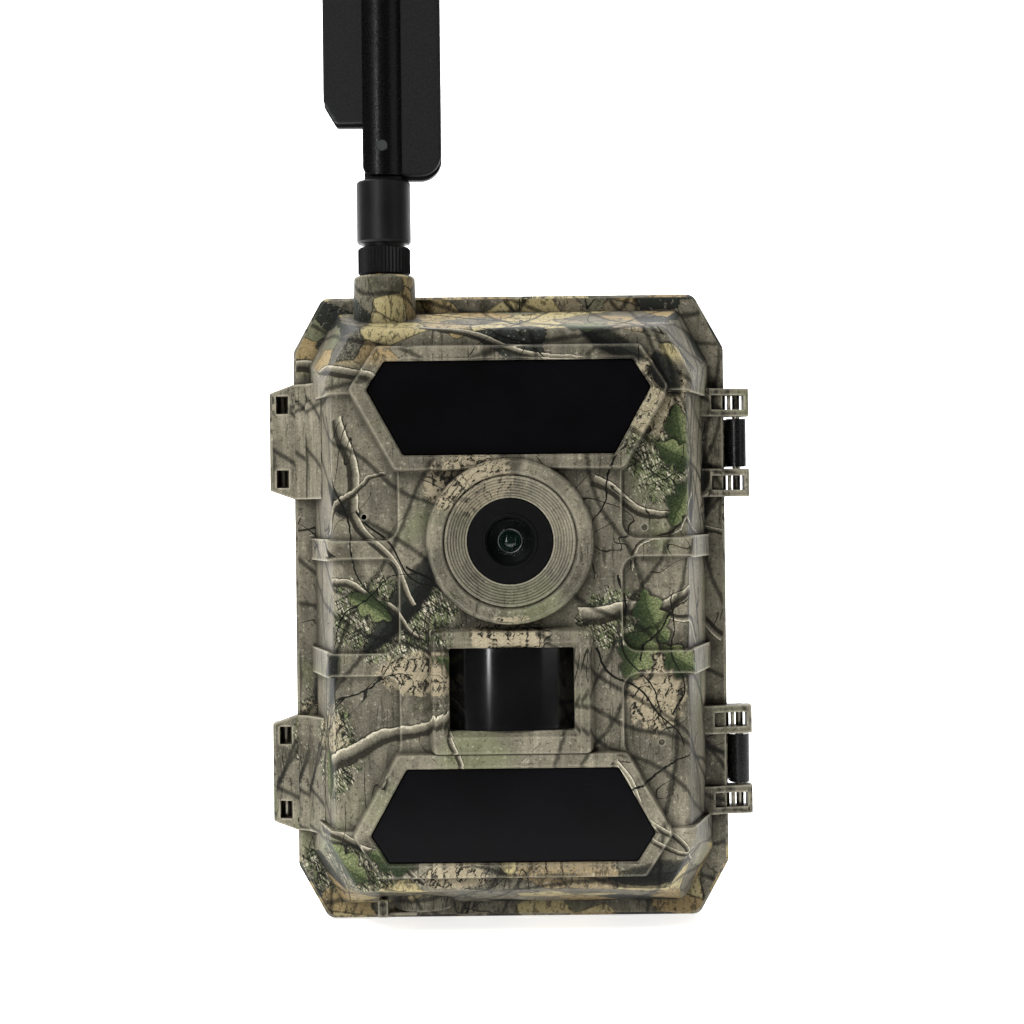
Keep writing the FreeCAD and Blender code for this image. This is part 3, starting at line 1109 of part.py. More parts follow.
def blade_shell(way):
    """Front (way -1) or rear (way 1) half of the blade: flat wings, a half-round spine, a recess for the radiator."""
    face, spine = ANT_Y + way * BLADE_FACE, ANT_Y + way * SPINE_FACE
    plate = prism(blade_outline(way), ANT_Y, face)
    plate = plate.makeChamfer(0.45, edges_in_plane(plate, face))
    rise = SPINE_FACE - BLADE_FACE
    round_r = (SPINE_W ** 2 + rise ** 2) / (2 * rise)
    hub = ANT_Y + way * (SPINE_FACE - round_r)
    low, top = PIVOT_Z - 6.7, BLADE_TOP - 7.0
    bar = rod(round_r, (ANT_X, hub, low), (ANT_X, hub, top))
    y0, y1 = sorted((ANT_Y + way * (BLADE_FACE - 0.6), spine + way))
    bar = bar.common(box(ANT_X - SPINE_W, ANT_X + SPINE_W, y0, y1, low, top))
    rounding = prism(
        [(ANT_X - SPINE_W, low, 2.2), (ANT_X + SPINE_W, low, 1.2), (ANT_X + SPINE_W, top, 3), (ANT_X - SPINE_W, top, 3)],
        y0, y1,
    )
    bar = bar.common(rounding)
    recess = box(ANT_X - 11.2, ANT_X + 11.2, ANT_Y - 0.9, ANT_Y + 0.9, PIVOT_Z + 10.8, BLADE_TOP - 4.0)
    slot = box(ANT_X - 20, ANT_X + SPINE_W - 0.15, ANT_Y - SLOT_HALF, ANT_Y + SLOT_HALF, PIVOT_Z - 12, PIVOT_Z)
    slot = slot.fuse(box(ANT_X - 20, ANT_X, ANT_Y - SLOT_HALF, ANT_Y + SLOT_HALF, PIVOT_Z - 1, PIVOT_Z + 4.6))
    slot = slot.fuse(rod(SPINE_W + 0.1, (ANT_X, ANT_Y - SLOT_HALF, PIVOT_Z), (ANT_X, ANT_Y + SLOT_HALF, PIVOT_Z)))
    pin = rod(PIVOT_R, (ANT_X, ANT_Y - 9, PIVOT_Z), (ANT_X, ANT_Y + 9, PIVOT_Z))
    return joined([plate, bar]).cut(recess.fuse(slot)).cut(pin)


def blade_radiator():
    """Printed aerial board inside the blade."""
    return box(ANT_X - 11.0, ANT_X + 11.0, ANT_Y - 0.8, ANT_Y + 0.8, PIVOT_Z + 11.0, BLADE_TOP - 4.2)


def pivot_pin():
    return rod(PIVOT_R, (ANT_X, ANT_Y - SPINE_FACE + 0.15, PIVOT_Z), (ANT_X, ANT_Y + SPINE_FACE - 0.15, PIVOT_Z))


# ---- Output ------------------------------------------------------------------------------------------------------
NODES = {
    "back_housing": back_housing,
    "housing_gasket": housing_gasket,
    "tripod_insert": tripod_insert,
    "tree_bracket": tree_bracket,
    "bracket_screws": bracket_screws,
    "battery_tray": battery_tray,
    "tray_screws": tray_screws,
    "battery_cells": battery_cells,
    "cell_springs": cell_springs,
    "cell_contacts": cell_contacts,
    "hinge_pins": hinge_pins,
    "power_pins": power_pins,
    "front_cover": front_cover,
    "upper_window": lambda: lamp_window(True),
    "lower_window": lambda: lamp_window(False),
    "window_gaskets": window_gaskets,
    "lens_bezel": lens_bezel,
    "lens_glass": lens_glass,
    "lens_barrel": lens_barrel,
    "lens_holder": lens_holder,
    "ir_cut_filter": ir_cut_filter,
    "image_sensor": image_sensor,
    "pir_lens": pir_lens,
    "pir_sensor": pir_sensor,
    "upper_lamp_board": lambda: lamp_board(True),
    "lower_lamp_board": lambda: lamp_board(False),
    "upper_lamps": lambda: lamps(True),
    "lower_lamps": lambda: lamps(False),
    "main_board": main_board,
    "board_parts": board_parts,
    "inner_panel": inner_panel,
    "panel_screws": panel_screws,
    "display_module": display_module,
    "display_glass": display_glass,
    "power_switch": power_switch,
    "memory_card": memory_card,
    "card_socket": card_socket,
    "sim_card": sim_card,
    "sim_socket": sim_socket,
    "speaker": speaker,
    "dc_jack": dc_jack,
    "port_plug": port_plug,
    "coax_lead": coax_lead,
    "power_pads": power_pads,
    "latch_pins": latch_pins,
    "upper_latch": lambda: latch(LATCH_CENTRES[0]),
    "lower_latch": lambda: latch(LATCH_CENTRES[1]),
    "antenna_jack": antenna_jack,
    "antenna_nut": antenna_nut,
    "antenna_collar": antenna_collar,
    "blade_front": lambda: blade_shell(-1),
    "blade_back": lambda: blade_shell(1),
    "blade_radiator": blade_radiator,
    "pivot_pin": pivot_pin,
}


def main():
    os.makedirs("parts", exist_ok=True)
    makers = dict(NODES)
    for name in KEYS:
        makers[name] = lambda name=name: key(name)
    for name, maker in makers.items():
        shape = maker()
        shape.exportStep(f"parts/{name}.step")
        count, sound = len(shape.Solids), shape.isValid()
        print(f"{name}: {count} solid(s), {'valid' if sound else 'INVALID'}, {shape.Volume / 1000:.2f} cm3")


main()
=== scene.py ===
"""Looks of the trail camera: finishes, a few fine pieces, the floor, the lights and the camera."""

import math

import bpy
import numpy as np
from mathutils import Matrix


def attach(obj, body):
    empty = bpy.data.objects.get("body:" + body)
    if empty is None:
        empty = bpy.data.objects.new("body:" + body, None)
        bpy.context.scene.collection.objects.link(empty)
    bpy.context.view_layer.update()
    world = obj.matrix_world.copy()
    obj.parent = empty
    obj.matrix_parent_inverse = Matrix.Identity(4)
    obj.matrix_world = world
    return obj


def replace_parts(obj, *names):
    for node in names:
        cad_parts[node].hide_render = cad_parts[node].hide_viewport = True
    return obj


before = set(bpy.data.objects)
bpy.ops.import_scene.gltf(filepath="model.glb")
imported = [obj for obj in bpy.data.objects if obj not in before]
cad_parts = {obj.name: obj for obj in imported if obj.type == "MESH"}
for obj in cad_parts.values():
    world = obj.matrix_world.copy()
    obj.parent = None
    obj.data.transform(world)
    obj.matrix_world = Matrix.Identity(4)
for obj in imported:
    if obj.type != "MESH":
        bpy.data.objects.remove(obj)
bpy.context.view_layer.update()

MM = 0.001
FLANGE_Y = -24.0             # front of the cover's flange, millimetres
FACE_Y = -46.5               # front of the cover's spine and ribs
MIDDLE_Z = 74.0              # half the height of the case
LENS_AXIS_Z = 90.0
RING_INNER, RING_OUTER = 10.4, 19.2    # radii of the lens ring
RISER_PITCH = 0.629          # from one step of the ring to the next
ANTENNA_X = -28.85
ANTENNA_SPINE_HALF = 4.4
CELL_COLUMNS = 6
CELL_PITCH, CELL_Y = 14.9, 2.5
CELL_LENGTH = 49.3
CELL_ROWS = (17.2, 75.0)     # lower end of each row's pocket
POCKET_LENGTH, CONTACT_T, SPRING_LENGTH = 55.8, 0.4, 4.2


# ---- Arithmetic on shader sockets ------------------------------------------------------------------------
class Value:
    """A number that flows through a material's nodes. Arithmetic on it adds Math nodes."""

    def __init__(self, finish, socket):
        self.finish, self.socket = finish, socket

    def math(self, operation, *others):
        inputs = dict(enumerate((self, *others)))
        return self.finish.node("ShaderNodeMath", {"operation": operation}, inputs)

    def __add__(self, other):
        return self.math("ADD", other)

    def __sub__(self, other):
        return self.math("SUBTRACT", other)

    def __mul__(self, other):
        return self.math("MULTIPLY", other)

    def __truediv__(self, other):
        return self.math("DIVIDE", other)

    def __pow__(self, other):
        return self.math("POWER", other)

    def __rsub__(self, other):
        return self.finish.node("ShaderNodeMath", {"operation": "SUBTRACT"}, {0: other, 1: self})

    def __rtruediv__(self, other):
        return self.finish.node("ShaderNodeMath", {"operation": "DIVIDE"}, {0: other, 1: self})

    __radd__ = __add__
    __rmul__ = __mul__

    def abs(self):
        return self.math("ABSOLUTE")

    def sin(self):
        return self.math("SINE")

    def cos(self):
        return self.math("COSINE")

    def floor(self):
        return self.math("FLOOR")

    def fract(self):
        return self.math("FRACT")

    def max(self, other):
        return self.math("MAXIMUM", other)

    def min(self, other):
        return self.math("MINIMUM", other)

    def above(self, level):
        return self.math("GREATER_THAN", level)

    def ramp(self, low, high, to_low=0.0, to_high=1.0):
        """Smooth step from to_low at low to to_high at high."""
        inputs = {"Value": self, "From Min": low, "From Max": high, "To Min": to_low, "To Max": to_high}
        return self.finish.node("ShaderNodeMapRange", {"interpolation_type": "SMOOTHSTEP"}, inputs)

    def line(self, low, high, to_low=0.0, to_high=1.0):
        """Straight ramp from to_low at low to to_high at high, held at both ends."""
        inputs = {"Value": self, "From Min": low, "From Max": high, "To Min": to_low, "To Max": to_high}
        return self.finish.node("ShaderNodeMapRange", {}, inputs)


def srgb(r, g, b):
    """Linear colour of an 8-bit display colour."""
    parts = [c / 255 for c in (r, g, b)]
    return tuple(((c + 0.055) / 1.055) ** 2.4 if c > 10 / 255 else c / 12.92 for c in parts) + (1.0,)


class Sheet:
    """The nodes of one tree, with the short forms that finishes and stamps share."""

    def __init__(self, tree):
        self.tree = tree

    def feed(self, socket, value):
        if isinstance(value, Value):
            self.tree.links.new(value.socket, socket)
        elif hasattr(socket.default_value, "__len__") and not hasattr(value, "__len__"):
            socket.default_value = [value] * len(socket.default_value)
        else:
            socket.default_value = value

    def node(self, kind, settings=None, inputs=None, out=0):
        """Any node, from its type, its settings and the values or links of its sockets. Gives one output, or
        several."""
        made = self.tree.nodes.new(kind)
        for name, value in (settings or {}).items():
            setattr(made, name, value)
        for name, value in (inputs or {}).items():
            self.feed(made.inputs[name], value)
        if isinstance(out, tuple):
            return tuple(Value(self, made.outputs[name]) for name in out)
        return Value(self, made.outputs[out])

    def vector(self, x=0.0, y=0.0, z=0.0):
        return self.node("ShaderNodeCombineXYZ", inputs={0: x, 1: y, 2: z})

    def noise(self, at, scale, detail=2.0, rough=0.5, twist=0.0):
        """Noise between 0 and 1 about 0.5, with features 1 / scale wide."""
        inputs = {"Vector": at, "Scale": scale, "Detail": detail, "Roughness": rough, "Distortion": twist}
        return self.node("ShaderNodeTexNoise", {}, inputs)

    def mix(self, amount, a, b):
        """Colour a where amount is 0, colour b where it is 1."""
        made = self.tree.nodes.new("ShaderNodeMix")
        made.data_type = "RGBA"
        for name, value in (("Factor_Float", amount), ("A_Color", a), ("B_Color", b)):
            self.feed(next(s for s in made.inputs if s.identifier == name), value)
        return Value(self, next(s for s in made.outputs if s.identifier == "Result_Color"))

    def ramp(self, value, *stops):
        """Colour ramp through (position, colour) stops."""
        made = self.tree.nodes.new("ShaderNodeValToRGB")
        elements = made.color_ramp.elements
        while len(elements) < len(stops):
            elements.new(0.5)
        for element, (position, colour) in zip(elements, stops):
            element.position, element.color = position, colour
        self.feed(made.inputs[0], value)
        return Value(self, made.outputs[0])


class Stamp(Sheet):
    """One print element that is stamped over a colour many times: a node group that takes the colour under it
    and some numbers."""

    def __init__(self, name, numbers):
        super().__init__(bpy.data.node_groups.new(name, "ShaderNodeTree"))
        sockets = self.tree.interface
        sockets.new_socket("Under", in_out="INPUT", socket_type="NodeSocketColor")
        for number in numbers:
            sockets.new_socket(number, in_out="INPUT", socket_type="NodeSocketFloat")
        sockets.new_socket("Printed", in_out="OUTPUT", socket_type="NodeSocketColor")
        entry = self.tree.nodes.new("NodeGroupInput")
        self.under, *self.numbers = (Value(self, entry.outputs[i]) for i in range(len(numbers) + 1))

    def gives(self, colour):
        self.feed(self.tree.nodes.new("NodeGroupOutput").inputs[0], colour)
        return self

    def over(self, finish, under, *numbers):
        return finish.node("ShaderNodeGroup", {"node_tree": self.tree}, dict(enumerate((under, *numbers))))


class Finish(Sheet):
    """A material under construction: one Principled shader and the nodes that feed it."""

    def __init__(self, name, **constants):
        self.material = bpy.data.materials.new(name)
        self.material.use_nodes = True
        super().__init__(self.material.node_tree)
        self.tree.nodes.clear()
        self.shader = self.tree.nodes.new("ShaderNodeBsdfPrincipled")
        out = self.tree.nodes.new("ShaderNodeOutputMaterial")
        self.tree.links.new(self.shader.outputs[0], out.inputs["Surface"])
        self.set(**constants)
        self._place = None

    def set(self, **values):
        """Set the shader's sockets; an underscore stands for a space."""
        for name, value in values.items():
            self.feed(self.shader.inputs[name.replace("_", " ")], value)

    def place(self):
        """Object coordinates in millimetres, as x, y, z."""
        if self._place is None:
            coordinates = self.node("ShaderNodeTexCoord", out="Object")
            parts = self.node("ShaderNodeSeparateXYZ", inputs={0: coordinates}, out=(0, 1, 2))
            self._place = tuple(part * 1000.0 for part in parts)
        return self._place

    def normal(self):
        facing = self.node("ShaderNodeTexCoord", out="Normal")
        return self.node("ShaderNodeSeparateXYZ", inputs={0: facing}, out=(0, 1, 2))

    def relief(self, height, depth, rounding=0.0):
        """Raise the surface by height (0 to 1) times depth in millimetres; rounding softens hard edges."""
        inputs = {"Height": height, "Distance": depth * MM, "Strength": 1.0}
        if rounding:
            inputs["Normal"] = self.node("ShaderNodeBevel", {"samples": 4}, {"Radius": rounding * MM})
        self.set(Normal=self.node("ShaderNodeBump", {}, inputs))

    def wear(self, *nodes):
        """Give this finish to CAD parts, by node name."""
        for name in nodes:
            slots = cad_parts[name].material_slots
            for slot in slots:
                slot.material = self.material
        return self


# ---- Camouflage ------------------------------------------------------------------------------------------
CLAY, SAND, CREAM, SOIL = srgb(112, 108, 95), srgb(138, 133, 117), srgb(204, 198, 178), srgb(80, 76, 64)
SHADOW, SOOT, SLATE = srgb(48, 45, 36), srgb(22, 21, 16), srgb(50, 55, 52)
OLIVE, MOSS, SAGE = srgb(74, 84, 52), srgb(42, 56, 36), srgb(120, 128, 92)
OCHRE, STRAW = srgb(158, 138, 98), srgb(178, 167, 126)


def unfolded(f):
    """Print coordinates in millimetres: the front laid flat, with the side walls folded out beside it."""
    x, y, z = f.place()
    nx, ny, nz = f.normal()
    tilt = 1.0 / (1.15 - ny.min(0.0))
    deep = y - FACE_Y
    return x + nx * tilt * deep, z + nz * tilt * deep


def zone(f, u, v, ragged, x, z, reach_x, reach_z):
    """Patch of the print about x, z with a ragged edge: 1 inside it and 0 outside."""
    du, dv = (u - x) / reach_x, (v - z) / reach_z
    return (du * du + dv * dv + ragged * 2.4).ramp(0.75, 1.1, 1.0, 0.0)


def stem_stamp(name, shadow, lit):
    """A printed stem that starts at x, z and runs reach millimetres in the direction of its cosine and sine.
    Its middle line sways by sway * (sin(5 s + seed) + 0.45 sin(13 s + 2 seed)), s going from 0 to 1 along it,
    and it thins to 45 % at its end. Lit gives its colours from its lower to its upper edge."""
    f = Stamp(name, ("u", "v", "grain", "x", "z", "cos", "sin", "reach", "width", "sway", "seed"))
    u, v, grain, x, z, c, s, reach, width, sway, seed = f.numbers
    along = ((u - x) * c + (v - z) * s) / reach
    sag = ((along * 5.0 + seed).sin() + (along * 13.0 + seed * 2.0).sin() * 0.45) * sway
    across = ((v - z) * c - (u - x) * s - sag) / width / (1.0 - along * 0.55)
    inside = (along * (1.0 - along)).above(0.0)
    body = across.abs().ramp(0.82, 1.0, 1.0, 0.0) * inside
    colour = f.under
    if shadow:
        colour = f.mix((across + 0.3).abs().ramp(1.3, 1.7, 0.9, 0.0) * inside, colour, shadow)
    tones = f.ramp(across * 0.5 + grain * 0.35 + 0.5, *lit) if len(lit) > 1 else lit[0]
    return f.gives(f.mix(body, colour, tones))


def leaf_stamp(name, lobes, tones, vein):
    """A printed leaf with its stalk end at x, z. Its half width is
    width * 4 t (1 - t) * (1 - lobes + lobes |cos 3.4 pi t|), t going from 0 to 1 along it."""
    f = Stamp(name, ("u", "v", "grain", "x", "z", "cos", "sin", "length", "width"))
    u, v, grain, x, z, c, s, length, width = f.numbers
    t = ((u - x) * c + (v - z) * s) / length
    across = (v - z) * c - (u - x) * s + (t * 3.0).sin() * width * 0.25
    half = (t * (1.0 - t) * width * 4.0).max(0.0) * ((t * 3.4 * math.pi).cos().abs() * lobes + (1.0 - lobes))
    rest = half - across.abs()
    rib = across.abs().ramp(0.12, 0.3, 1.0, 0.0)
    side_veins = ((t * 6.0 - across.abs() * 1.1 / width).fract() - 0.5).abs().ramp(0.04, 0.1, 0.55, 0.0)
    light = (across / width).ramp(-0.5, 0.5, 0.2, 0.7) + grain * 0.9
    colour = f.mix(rest.ramp(-0.9, -0.1, 0.0, 0.65), f.under, SOOT)
    body = f.mix(rib.max(side_veins) * 0.55, f.ramp(light, *tones), vein)
    return f.gives(f.mix(rest.ramp(0.0, 0.25, 0.0, 0.94), colour, body))


def strands(f, u, v, angle, size, seed):
    """Fine grass along angle, in degrees: noise stretched nine to one, cut at a level."""
    c, s = math.cos(math.radians(angle)), math.sin(math.radians(angle))
    at = f.vector((u * c + v * s) / (size * 9.0), (v * c - u * s) / size, seed)
    return f.noise(at, 1.0, 1.5, 0.5, 0.6).ramp(0.52, 0.58)


def hair_lines(f, u, v, angle, reach, width, seed, share):
    """Thin winding twigs: the level lines of a noise stretched along angle, in degrees, with gaps in them."""
    c, s = math.cos(math.radians(angle)), math.sin(math.radians(angle))
    along, across = u * c + v * s, v * c - u * s
    field = f.noise(f.vector(along / reach, across / (reach * 0.3), seed), 1.0, 2.0, 0.45, 0.25) - 0.5
    gaps = f.noise(f.vector(along / (reach * 0.7), across / (reach * 0.5), seed + 5.0), 1.0, 1.0)
    return field.abs().ramp(width * 0.6, width, 1.0, 0.0) * gaps.ramp(1.0 - share - 0.02, 1.0 - share + 0.02)


# patches of the print: x, z, half width, half height
GRASS_ZONES = (
    (-27, 73, 15, 10), (-44, 43, 9, 13), (35, 112, 9, 13), (24, 72, 9, 7), (-39, 14, 12, 8),
)
CRACKLE_ZONES = (
    (-9, 103, 11, 7), (-45, 45, 7, 8), (32, 122, 9, 9), (-14, 14, 9, 3), (-1, 69, 9, 4), (-19, 60, 12, 5),
    (33, 56, 7, 10),
)
# leaves: x, z, direction in degrees, length, half width
LANCE_LEAVES = (
    (-34, 64, 53, 33, 3.3), (-47, 52, 62, 16, 2.6), (16, 139, -28, 17, 2.4), (-46, 104, -34, 17, 1.8),
    (21, 13, 8, 22, 2.6), (33, 133, -60, 12, 3.0), (-30, 127, 12, 20, 2.0), (44, 92, 82, 15, 2.2),
)
OAK_LEAVES = (
    (30, 79, -66, 14, 4.4), (33, 70, -118, 14, 4.6), (34, 66, -32, 12, 3.8), (38, 121, -75, 15, 4.0),
    (33, 112, -20, 13, 3.6), (43, 104, -118, 13, 3.6), (-44, 22, -38, 14, 4.4), (-33, 20, -8, 13, 3.8),
    (-47, 31, 98, 12, 3.6), (11, 142, -8, 13, 3.2), (-27, 72, 150, 12, 3.2), (-17, 64, -20, 10, 2.8),
)
# stems: x, z, direction in degrees, reach, half width, sway, seed
BOUGHS = (
    (-51, 131, -12, 40, 1.1, 1.7, 0.4), (-40, 118, -68, 46, 1.2, 2.6, 2.2),
    (-46, 37, 27, 42, 1.7, 1.6, 0.9), (16, 72, 14, 28, 1.6, 1.1, 1.4), (19, 104, -24, 36, 1.0, 1.6, 3.1),
    (47, 106, -128, 30, 0.7, 2.4, 0.2), (-48, 92, 34, 24, 0.8, 1.6, 4.4),
    (23, 40, -52, 34, 0.8, 1.6, 2.7), (-51, 27, -22, 34, 0.9, 1.6, 5.2),
    (-16, 48, -64, 20, 0.6, 1.2, 1.0), (50, 66, 152, 26, 0.8, 1.4, 3.6),
    (-20, 140, -14, 46, 0.8, 1.0, 2.0), (12, 26, -12, 36, 0.7, 1.2, 0.6),
    (-42, 82, -28, 26, 0.8, 1.5, 5.9),
)
TWIGS = (
    (-50, 118, -62, 52, 0.32, 2.4, 0.7), (-36, 96, -38, 34, 0.3, 2.0, 1.8),
    (20, 66, -52, 30, 0.34, 1.6, 4.2), (24, 82, -74, 38, 0.3, 2.4, 2.6), (30, 62, 56, 26, 0.28, 1.8, 0.3),
    (17, 32, 19, 36, 0.36, 1.2, 3.3), (-45, 66, 38, 30, 0.28, 2.0, 5.0),
    (22, 111, -96, 30, 0.3, 2.2, 1.1), (-24, 84, -24, 22, 0.3, 1.2, 2.1),
    (-50, 48, 24, 30, 0.3, 1.6, 4.6), (-10, 139, -20, 30, 0.28, 1.4, 0.5),
    (36, 50, 84, 28, 0.3, 2.0, 3.9),
)


def stamped(f, stamp, colour, u, v, grain, places):
    """Stamp an element at each place: x, z, direction in degrees, then its own sizes."""
    for x, z, angle, *sizes in places:
        turn = math.radians(angle)
        colour = stamp.over(f, colour, u, v, grain, x, z, math.cos(turn), math.sin(turn), *sizes)
    return colour


def bark_ground(f, u, v, flat, grit):
    """Smooth clay streaked upwards like bark, with darker and greener drifts."""
    cloud = f.noise(flat, 0.03, 3.0, 0.6)
    streak = f.noise(f.vector(u, v * 0.16, 2.0), 0.42, 4.0, 0.62, 0.5)
    ground = cloud * 0.55 + streak * 0.30 + grit * 0.22 - 0.03
    colour = f.ramp(ground, (0.36, SOIL), (0.46, CLAY), (0.57, SAND), (0.8, CREAM))
    bark = f.noise(f.vector(u, v * 0.12, 8.0), 1.1, 3.0, 0.6, 0.8)
    barked = f.noise(flat, 0.05, 1.0)
    colour = f.mix(bark.ramp(0.56, 0.64) * barked.ramp(0.48, 0.58) * 0.6, colour, SHADOW)
    dapple = f.noise(f.vector(u, v, 7.7), 0.045, 4.0, 0.6, 0.6)
    colour = f.mix(dapple.ramp(0.56, 0.66, 0.0, 0.6), colour, f.mix(grit, SOIL, SHADOW))
    return f.mix(f.noise(f.vector(u, v, 31.0), 0.04, 2.0).ramp(0.55, 0.66, 0.0, 0.45), colour, SAGE)


def leaf_litter(f, u, v, grit, ragged, colour):
    """Blocks of dead leaves along the top and bottom edges."""
    at = f.vector(u / 11.0 + ragged * 0.25, v / 8.0 + u * 0.03 + ragged * 0.2)
    cells = {"Vector": at, "Scale": 1.0, "Randomness": 0.85}
    chance = f.node("ShaderNodeTexVoronoi", {"voronoi_dimensions": "2D", "feature": "F1"}, cells, "Color")
    pick, hue, _ = f.node("ShaderNodeSeparateColor", inputs={0: chance}, out=(0, 1, 2))
    edges = {"voronoi_dimensions": "2D", "feature": "DISTANCE_TO_EDGE"}
    seam = f.node("ShaderNodeTexVoronoi", edges, cells, "Distance")
    stops = (0.0, SLATE), (0.24, SLATE), (0.30, CLAY), (0.50, SAND), (0.58, OCHRE), (0.9, STRAW)
    block = f.ramp(pick + (grit - 0.5) * 0.5, *stops)
    veins = f.noise(f.vector(u, v * 0.5, 12.0), 0.8, 3.0, 0.65, 0.6)
    block = f.mix(veins.ramp(0.52, 0.6, 0.0, 0.6), block, SHADOW)
    border = (v - MIDDLE_Z).abs().ramp(55.0, 58.5) * hue.above(0.30)
    return f.mix(border * 0.92, colour, f.mix(seam.ramp(0.0, 0.05, 0.8, 0.0), block, SOOT))


def patches(f, u, v, ragged, zones):
    """Union of the zones."""
    whole = zone(f, u, v, ragged, *zones[0])
    for place in zones[1:]:
        whole = whole.max(zone(f, u, v, ragged, *place))
    return whole


def camouflage():
    """Print of dry bark and grass, with dead leaves, green leaves and boughs laid over one another."""
    f = Finish("camouflage print", Roughness=0.5, IOR=1.45, Specular_IOR_Level=0.16)
    u, v = unfolded(f)
    flat = f.vector(u, v)
    x, y, z = f.place()
    ragged = f.noise(flat, 0.42, 3.0, 0.62) - 0.5
    grit = f.noise(flat, 2.0, 3.0, 0.72)
    colour = bark_ground(f, u, v, flat, grit)
    colour = leaf_litter(f, u, v, grit, ragged, colour)
    grass = patches(f, u, v, ragged, GRASS_ZONES)
    for angle, size, seed, tint in ((62, 0.5, 1.0, SOOT), (108, 0.42, 2.0, CREAM), (24, 0.5, 3.0, MOSS),
                                    (84, 0.42, 4.0, SAGE), (140, 0.36, 5.0, SOOT)):
        colour = f.mix(strands(f, u, v, angle, size, seed) * grass * 0.85, colour, tint)
    crackle = patches(f, u, v, ragged, CRACKLE_ZONES)
    bent = f.vector(u + ragged * 3.0, v * 0.8 + ragged * 4.0, 6.6)
    crack = (f.noise(bent, 0.36, 2.0, 0.55, 0.8) - 0.5).abs()
    colour = f.mix(crackle * 0.6, colour, f.mix(grit, OCHRE, CREAM))
    colour = f.mix(crack.ramp(0.018, 0.045, 0.92, 0.0) * crackle, colour, SOOT)

    specks = f.noise(f.vector(u, v, 3.3), 1.1, 3.0, 0.7)
    colour = f.mix(specks.ramp(0.58, 0.66, 0.0, 0.5), colour, SHADOW)
    colour = f.mix(specks.ramp(0.32, 0.4, 0.35, 0.0), colour, CREAM)

    # The elements follow coordinates shaken by a fine noise, which frays their edges. The trace of crack in
    # it makes the renderer work the ground out first, so that the whole print fits in its memory.
    shake = f.noise(f.vector(u, v, crack * 0.01), 0.42, 3.0, 0.62) - 0.5
    grain = f.noise(f.vector(u, v, crack * 0.01 + 9.0), 2.0, 3.0, 0.7) - 0.5
    p, q = u + shake * 1.2, v - shake * 1.2
    plain = colour
    for stamp, places in ((LANCE, LANCE_LEAVES), (BOUGH, BOUGHS), (OAK, OAK_LEAVES), (TWIG, TWIGS)):
        colour = stamped(f, stamp, colour, p, q, grain, places)
    for angle, reach, width, seed, share in ((78, 34.0, 0.0045, 4.0, 0.44), (-35, 40.0, 0.004, 5.0, 0.4),
                                             (40, 36.0, 0.004, 6.0, 0.42)):
        colour = f.mix(hair_lines(f, u, v, angle, reach, width, seed, share) * 0.9, colour, SOOT)
    radius = (x * x + (z - LENS_AXIS_Z) * (z - LENS_AXIS_Z)) ** 0.5
    colour = f.mix(radius.ramp(RING_OUTER - 1.0, RING_OUTER, 0.8, 0.0), colour, plain)

    # Painted shade in the hollows, on surfaces further back and along the bottom band, a painted highlight
    # along the convex edges, and a painted dark line at each step of the lens ring.
    own = {"samples": 6, "only_local": True}
    # Painted shade: ambient occlusion darkens the print in hollows and creases, where shade falls.
    painted_crevice_shade = f.node("ShaderNodeAmbientOcclusion", own, {"Distance": 3.2 * MM}, "AO")
    # Painted highlight: ambient occlusion from inside finds the convex edges.
    edge = f.node("ShaderNodeAmbientOcclusion", own | {"inside": True}, {"Distance": 0.8 * MM}, "AO")
    # Painted shade: the print darkens the further back its surface lies; the grain term is random tone.
    deep = y.line(FACE_Y - 4.0, FLANGE_Y, 1.05, 0.92) * (grain + 0.5).ramp(0.3, 0.7, 0.86, 1.14)
    # Painted shade: the print is darker along the bottom band, below z = 14 mm.
    deep = deep * painted_crevice_shade.line(0.45, 0.97, 0.24, 1.0) * z.line(4.0, 14.0, 0.95, 1.32)
    # Painted shade: a dark line at each step of the lens ring.
    painted_riser_shade = ((radius - RING_INNER) / RISER_PITCH).fract().ramp(0.0, 0.3, 0.45, 0.0)
    deep = deep * (1.0 - painted_riser_shade * radius.ramp(15.2, 15.6, 1.0, 0.0))
    # Painted highlight: cream along the convex edges.
    colour = f.mix(edge.ramp(0.5, 0.92, 0.6, 0.0), colour, CREAM)
    rich = f.node("ShaderNodeGamma", {}, {"Color": colour, "Gamma": 1.3})
    tint = f.node("ShaderNodeHueSaturation", {}, {"Value": deep, "Saturation": 0.92, "Color": rich})
    f.set(Base_Color=tint, Roughness=grit.line(0.3, 0.7, 0.42, 0.58))
    f.relief(f.noise(f.vector(x, y, z), 3.2, 2.0), 0.03, rounding=0.45)
    return f


BOUGH = stem_stamp("bough", SHADOW, ((0.05, SHADOW), (0.35, CLAY), (0.65, SAND), (0.95, CREAM)))
TWIG = stem_stamp("twig", None, (SOOT,))
LANCE = leaf_stamp("lance leaf", 0.0, ((0.1, SOOT), (0.55, SLATE), (1.0, SOIL)), SOOT)
OAK = leaf_stamp("oak leaf", 0.42, ((0.1, MOSS), (0.42, OLIVE), (0.72, SAGE), (0.95, STRAW)), MOSS)


# ---- Plain finishes --------------------------------------------------------------------------------------
def moulded(name, dark, light, grain=2.6, depth=0.03, rough=(0.5, 0.66), rounding=0.3, **constants):
    """Textured plastic: fine spark grain, slow colour drift, and shine that changes a little in patches."""
    f = Finish(name, Specular_IOR_Level=0.25, **constants)
    at = f.vector(*f.place())
    fine, drift = f.noise(at, grain, 3.0, 0.6), f.noise(at, 0.07, 2.0)
    f.set(Base_Color=f.mix(drift.ramp(0.35, 0.65) * 0.6 + fine * 0.4, dark, light))
    f.set(Roughness=(fine * 0.6 + drift * 0.4).line(0.35, 0.65, *rough))
    f.relief(fine, depth, rounding)
    return f


